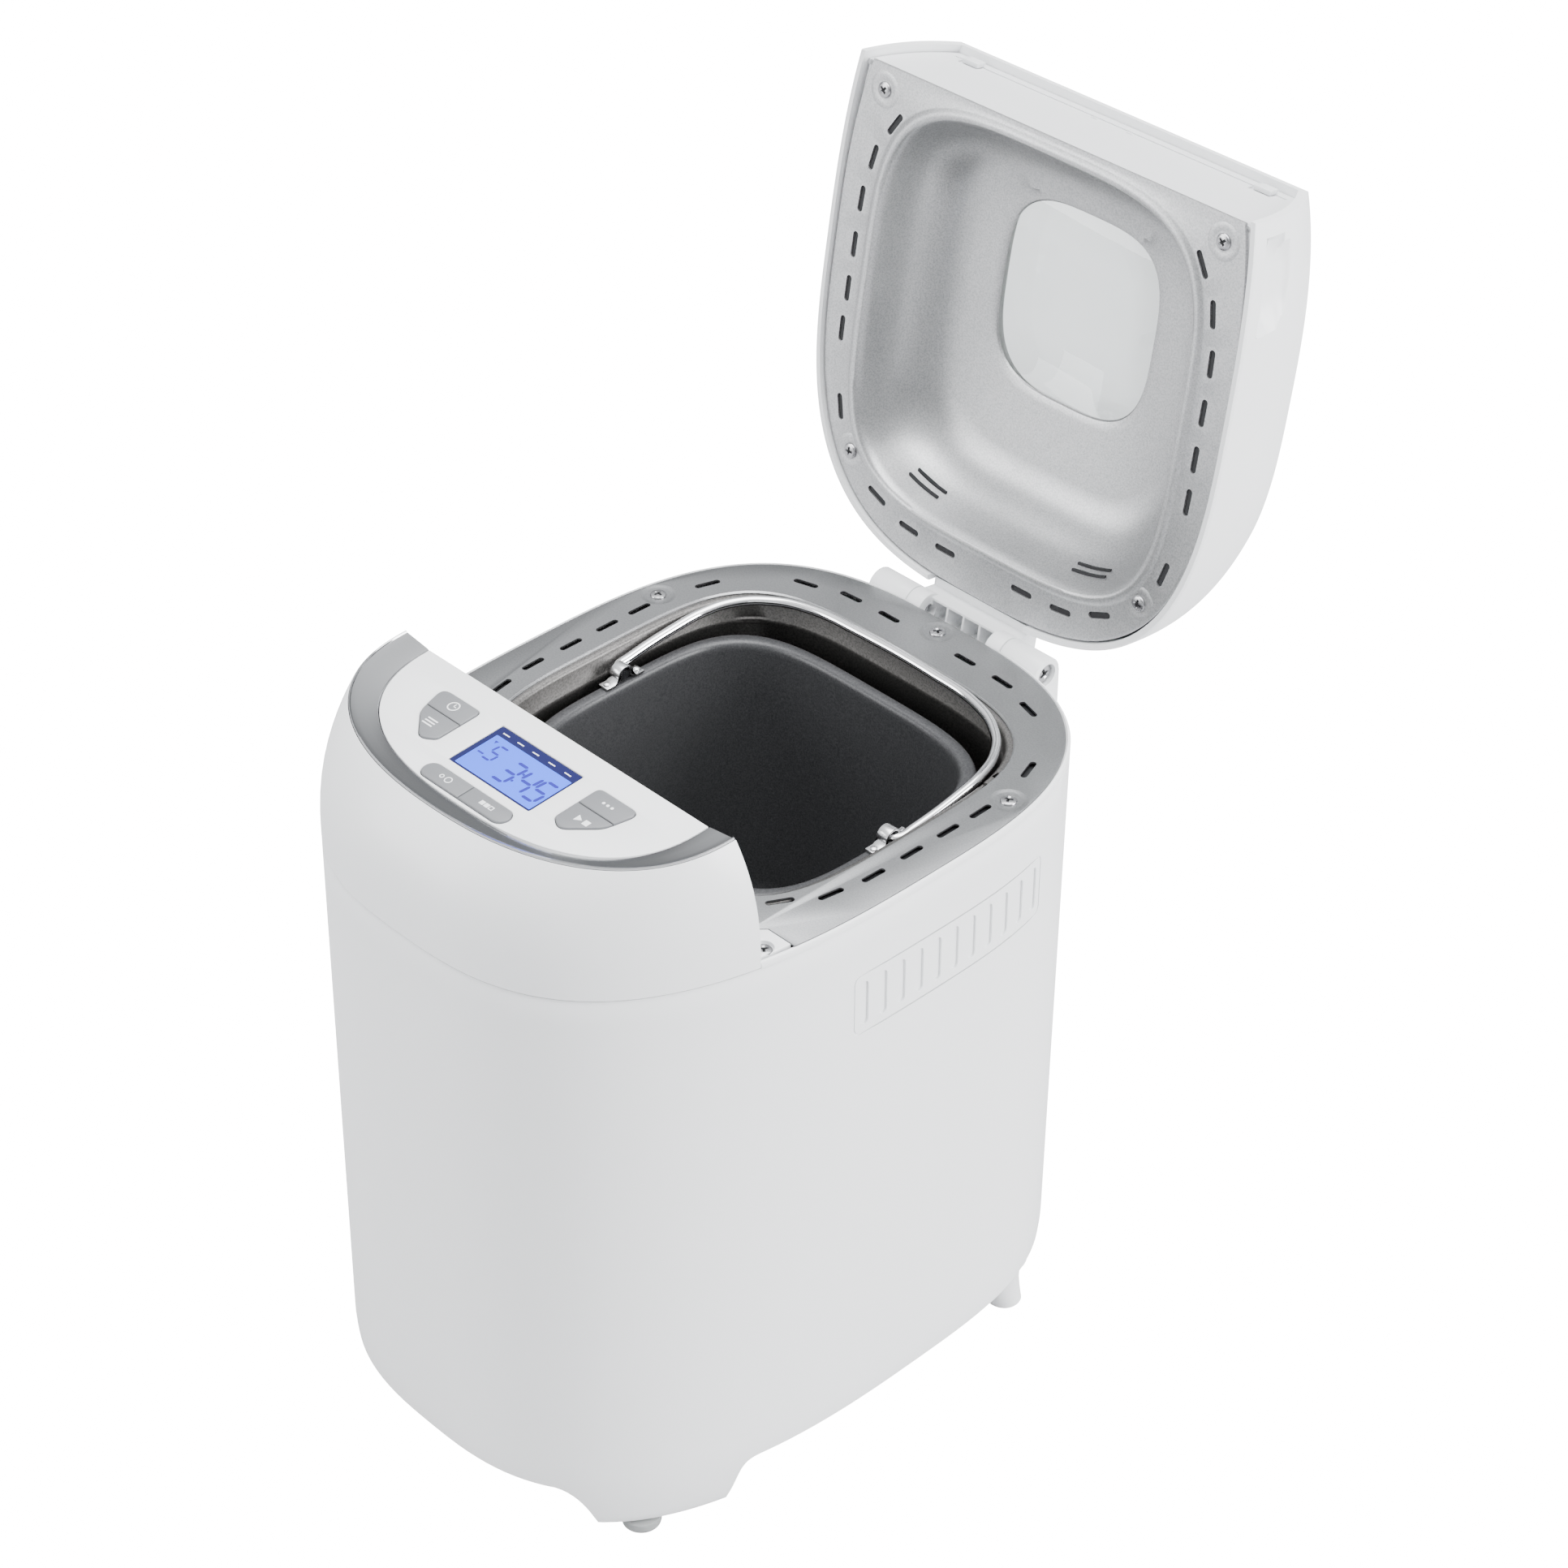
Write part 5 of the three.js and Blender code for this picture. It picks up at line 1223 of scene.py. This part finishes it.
def build_windows():
    angles = even_angles(96)
    low = LINER_Z + DISH_DEPTH + 1.3
    thickness = 2
    for name, grow, base in (("Inner window", 3, low), ("Outer window", 6, LID_TOP - 0.2)):
        pane = sheet_piece(name, [super_ring(WINDOW, angles, grow)], base, base + thickness, 0.3)
        settle(pane, ON_LID, "lid", "window_glass", "glass", name.lower().replace(" ", "_"))
    top = LID_TOP - 0.9
    seal = loft("Window seal", [level(super_ring(WINDOW, angles, grow), z) for grow, z in (
        (5.6, low), (5.6, top), (3.6, top), (3.6, low + 6), (3.2, low + 5.4), (3.2, low + 4.2),
        (3.6, low + 3.6), (3.6, low))], "joined")
    settle(seal, ON_LID, "lid", "seal_rubber", "seal", "window_seal")


# ---- Hinge and cord gland -------------------------------------------------------------------------------

def on_hinge(name, radius, start, end, count=32):
    """A rod along the hinge's axis."""
    return rod(name, radius, (start, HINGE_Y, HINGE_Z), (end, HINGE_Y, HINGE_Z), count)


def build_hinge():
    for name, side in SIDES:
        span = sorted((side * EAR_INNER, side * EAR_OUTER))
        body = block("Hinge ear " + name, *span, 190, HINGE_Y + 7, HINGE_Z - 22, HINGE_Z)
        upper = [(x, y, 300) for x, y, _ in housing_ring(-0.4, 270)]
        cut(body, loft("shell", [housing_ring(-0.4, 230), upper]))
        barrel = on_hinge("barrel", BARREL, side * EAR_INNER, side * EAR_OUTER, 56)
        combine(body, "UNION", round_edges(barrel, 0.6, 60))
        cut(body, on_hinge("bore", HINGE_BORE, side * 25, side * 47),
            on_hinge("recess", 4.8, side * 38, side * 47))
        for x in (30.5, 40):
            across = sorted((side * x, side * (x + 3.4)))
            cut(body, block("window", *across, HINGE_Y - 9, HINGE_Y - 6, HINGE_Z - 2.4, HINGE_Z + 1.6))
        settle(body, TO_FRAME, "body", "white_plastic", "white", "hinge_ear_" + name, smooth=30)
        place = Matrix.Translation((side * 43.6, HINGE_Y, HINGE_Z))
        turn = Matrix.Rotation(side * math.pi / 2, 4, "Y")
        place_screw("hinge_screw_" + name, "Hinge screw " + name, TO_FRAME @ place @ turn, head=4.3,
                    length=24)


def build_bracket():
    reach = BRACKET_REACH
    tower = block("Lid hinge bracket", -reach, reach, HINGE_Y - 5.9, HINGE_Y + 6, HINGE_Z, 283)
    combine(tower, "UNION", block("tongue", -reach, reach, HINGE_Y - 9.3, HINGE_Y - 5, LID_Z + 4, 283))
    for side in (-1, 1):
        barrel = on_hinge("barrel", BARREL, side * 18, side * reach, 56)
        combine(tower, "UNION", round_edges(barrel, 0.5, 60))
    for x in (-13.2, -4.4, 4.4, 13.2):
        cut(tower, block("pocket", x - 3.9, x + 3.9, HINGE_Y - 5, HINGE_Y + 4.9, HINGE_Z - 10, 280))
    for side in (-1, 1):
        cut(tower, on_hinge("bore", HINGE_BORE, side * 17, side * 30))
    round_edges(tower, 0.35, 60)
    settle(tower, ON_LID, "lid", "white_plastic", "white", "lid_hinge_bracket", smooth=30)


def build_gland():
    gland = turned("Cord gland", [
        (3.6, -8), (6, -8), (6, 0), (8.6, 0), (9, 0.4), (9, 2.2), (8.4, 2.8), (6.5, 4), (6.1, 5.4),
        (6.3, 5.8), (5.9, 6.4), (5.6, 7.6), (5.8, 8), (5.4, 9), (3.6, 9)], count=48, ends="joined")
    gland.data.transform(Matrix.Translation(GLAND) @ Matrix.Rotation(-math.pi / 2, 4, "X"))
    settle(gland, TO_FRAME, "body", "white_plastic", "white", "power_gland")


# ---- Stage ----------------------------------------------------------------------------------------------

def add_area(name, location, size, energy, aim):
    light = bpy.data.lights.new(name, "AREA")
    light.shape = "RECTANGLE"
    light.size, light.size_y = size
    light.energy = energy
    lamp = bpy.data.objects.new(name, light)
    lamp.location = location
    lamp.rotation_euler = (Vector(aim) - Vector(location)).to_track_quat("-Z", "Y").to_euler()
    bpy.context.scene.collection.objects.link(lamp)


def build_floor():
    """A floor that the camera sees as plain white, but that lights the piece as a pale surface does."""
    deselect()
    bpy.ops.mesh.primitive_plane_add(size=60)
    floor = bpy.context.object
    floor.name = "Floor"
    backdrop = bpy.data.materials.new("Pale floor")
    backdrop.use_nodes = True
    nodes = backdrop.node_tree.nodes
    shader = nodes["Principled BSDF"]
    shader.inputs["Base Color"].default_value = (*chosen("floor_colour"), 1)
    shader.inputs["Roughness"].default_value = 0.9
    shader.inputs["Emission Color"].default_value = (1, 1, 1, 1)
    seen = add_node(nodes, "LightPath")
    glow = add_node(nodes, "Math", "MULTIPLY")
    glow.inputs[1].default_value = 16
    connect(backdrop.node_tree.links,
            (seen, "Is Camera Ray", glow, 0), (glow, 0, shader, "Emission Strength"))
    floor.data.materials.append(backdrop)


def build_world():
    """Soft light that is brightest overhead."""
    world = bpy.data.worlds.new("Soft studio")
    world.use_nodes = True
    nodes = world.node_tree.nodes
    background = nodes["Background"]
    background.inputs["Strength"].default_value = 1.0
    direction = add_node(nodes, "NewGeometry")
    split = add_node(nodes, "SeparateXYZ")
    height = add_node(nodes, "MapRange", From_Min=1, From_Max=-1)
    ramp = add_node(nodes, "ValToRGB")
    set_stop(ramp.color_ramp.elements[0], 0.5, (0.30, 0.32, 0.34))
    set_stop(ramp.color_ramp.elements[1], 0.92, (1.7, 1.72, 1.75))
    for position, light in ((0.62, 0.5), (0.76, 1.1)):
        set_stop(ramp.color_ramp.elements.new(position), position, (light * 0.98, light, light * 1.02))
    connect(world.node_tree.links,
            (direction, "Incoming", split, "Vector"), (split, "Z", height, "Value"),
            (height, "Result", ramp, "Fac"), (ramp, "Color", background, "Color"))
    bpy.context.scene.world = world


def build_stage():
    build_floor()
    build_world()
    add_area("Overhead light", (0.1, 0.1, 1.9), (1.6, 1.6), 60, (0, 0, 0.2))
    add_area("Side light", (2.0, 0.9, 0.9), (1.0, 1.6), 92, (0, 0, 0.25))
    add_area("Front light", (-1.3, -1.8, 0.9), (1.0, 1.4), 34, (0, 0, 0.25))
    camera = bpy.data.cameras.new("Camera")
    camera.lens = 86.54
    camera.sensor_width = 36
    camera.clip_end = 30
    viewer = bpy.data.objects.new("Camera", camera)
    viewer.location = (0.8482, -0.8107, 1.102)
    viewer.rotation_euler = [math.radians(angle) for angle in (53.80, 0, 46.09)]
    bpy.context.scene.collection.objects.link(viewer)
    bpy.context.scene.camera = viewer


def dress_inner_works():
    """The mechanism keeps the frame's own shapes, each with its finish."""
    for name, members in CARRIED.items():
        for node in members:
            paint(frame["nodes"][node], name)


# ---- Operators, panel and registration ------------------------------------------------------------------

STEPS = (
    ("housing", "Housing", "Build the housing and the base cover", (build_housing,)),
    ("feet", "Feet", "Build the front feet and the rear legs", (build_feet,)),
    ("rim", "Rim", "Build the rim plate", (build_rim,)),
    ("screws", "Screws", "Build every screw of the rim and the lid", (build_screws,)),
    ("chamber", "Chamber", "Build the oven chamber", (build_chamber,)),
    ("pan", "Pan", "Build the bread pan, its shaft and the paddle", (build_pan,)),
    ("handle", "Handle", "Build the pan's handle and brackets", (build_handle,)),
    ("controls", "Controls", "Build the control section, band and panel",
     (build_cap, build_band, build_panel)),
    ("buttons", "Buttons", "Build the six buttons", (build_buttons,)),
    ("display", "Display", "Build the display", (build_display,)),
    ("lid_shell", "Lid shell", "Build the lid's cover and frame", (build_cover, build_lid_frame)),
    ("lid_liner", "Lid liner", "Build the lid's liner, panes and seal", (build_liner, build_windows)),
    ("hinge", "Hinge", "Build the hinge's ears, screws and bracket", (build_hinge, build_bracket)),
    ("gland", "Cord gland", "Build the gland for the cord", (build_gland,)),
    ("inner_works", "Inner works", "Give the mechanism its finishes", (dress_inner_works,)),
    ("stage", "Stage", "Build the floor, the lights and the camera", (build_stage,)),
)


def operator_class(key, label, text, builders):
    def execute(self, context):
        for builder in builders:
            builder()
        return {"FINISHED"}
    return type("BREADMACHINE_OT_" + key, (bpy.types.Operator,), {
        "__doc__": text, "bl_idname": "breadmachine." + key, "bl_label": label, "execute": execute})


OPERATORS = [operator_class(*step) for step in STEPS]


class BREADMACHINE_PT_panel(bpy.types.Panel):
    bl_label = "Bread machine"
    bl_space_type = "VIEW_3D"
    bl_region_type = "UI"
    bl_category = "Bread machine"

    def draw(self, context):
        for name in BreadMachineSettings.__annotations__:
            self.layout.prop(context.scene.bread_machine, name)
        for operator in OPERATORS:
            self.layout.operator(operator.bl_idname)


CLASSES = [BreadMachineSettings, *OPERATORS, BREADMACHINE_PT_panel]


def register():
    for cls in CLASSES:
        bpy.utils.register_class(cls)
    bpy.types.Scene.bread_machine = bpy.props.PointerProperty(type=BreadMachineSettings)


def unregister():
    del bpy.types.Scene.bread_machine
    for cls in reversed(CLASSES):
        bpy.utils.unregister_class(cls)


def main():
    register()
    for key, *_ in STEPS:
        getattr(bpy.ops.breadmachine, key)()


if __name__ == "__main__":
    main()
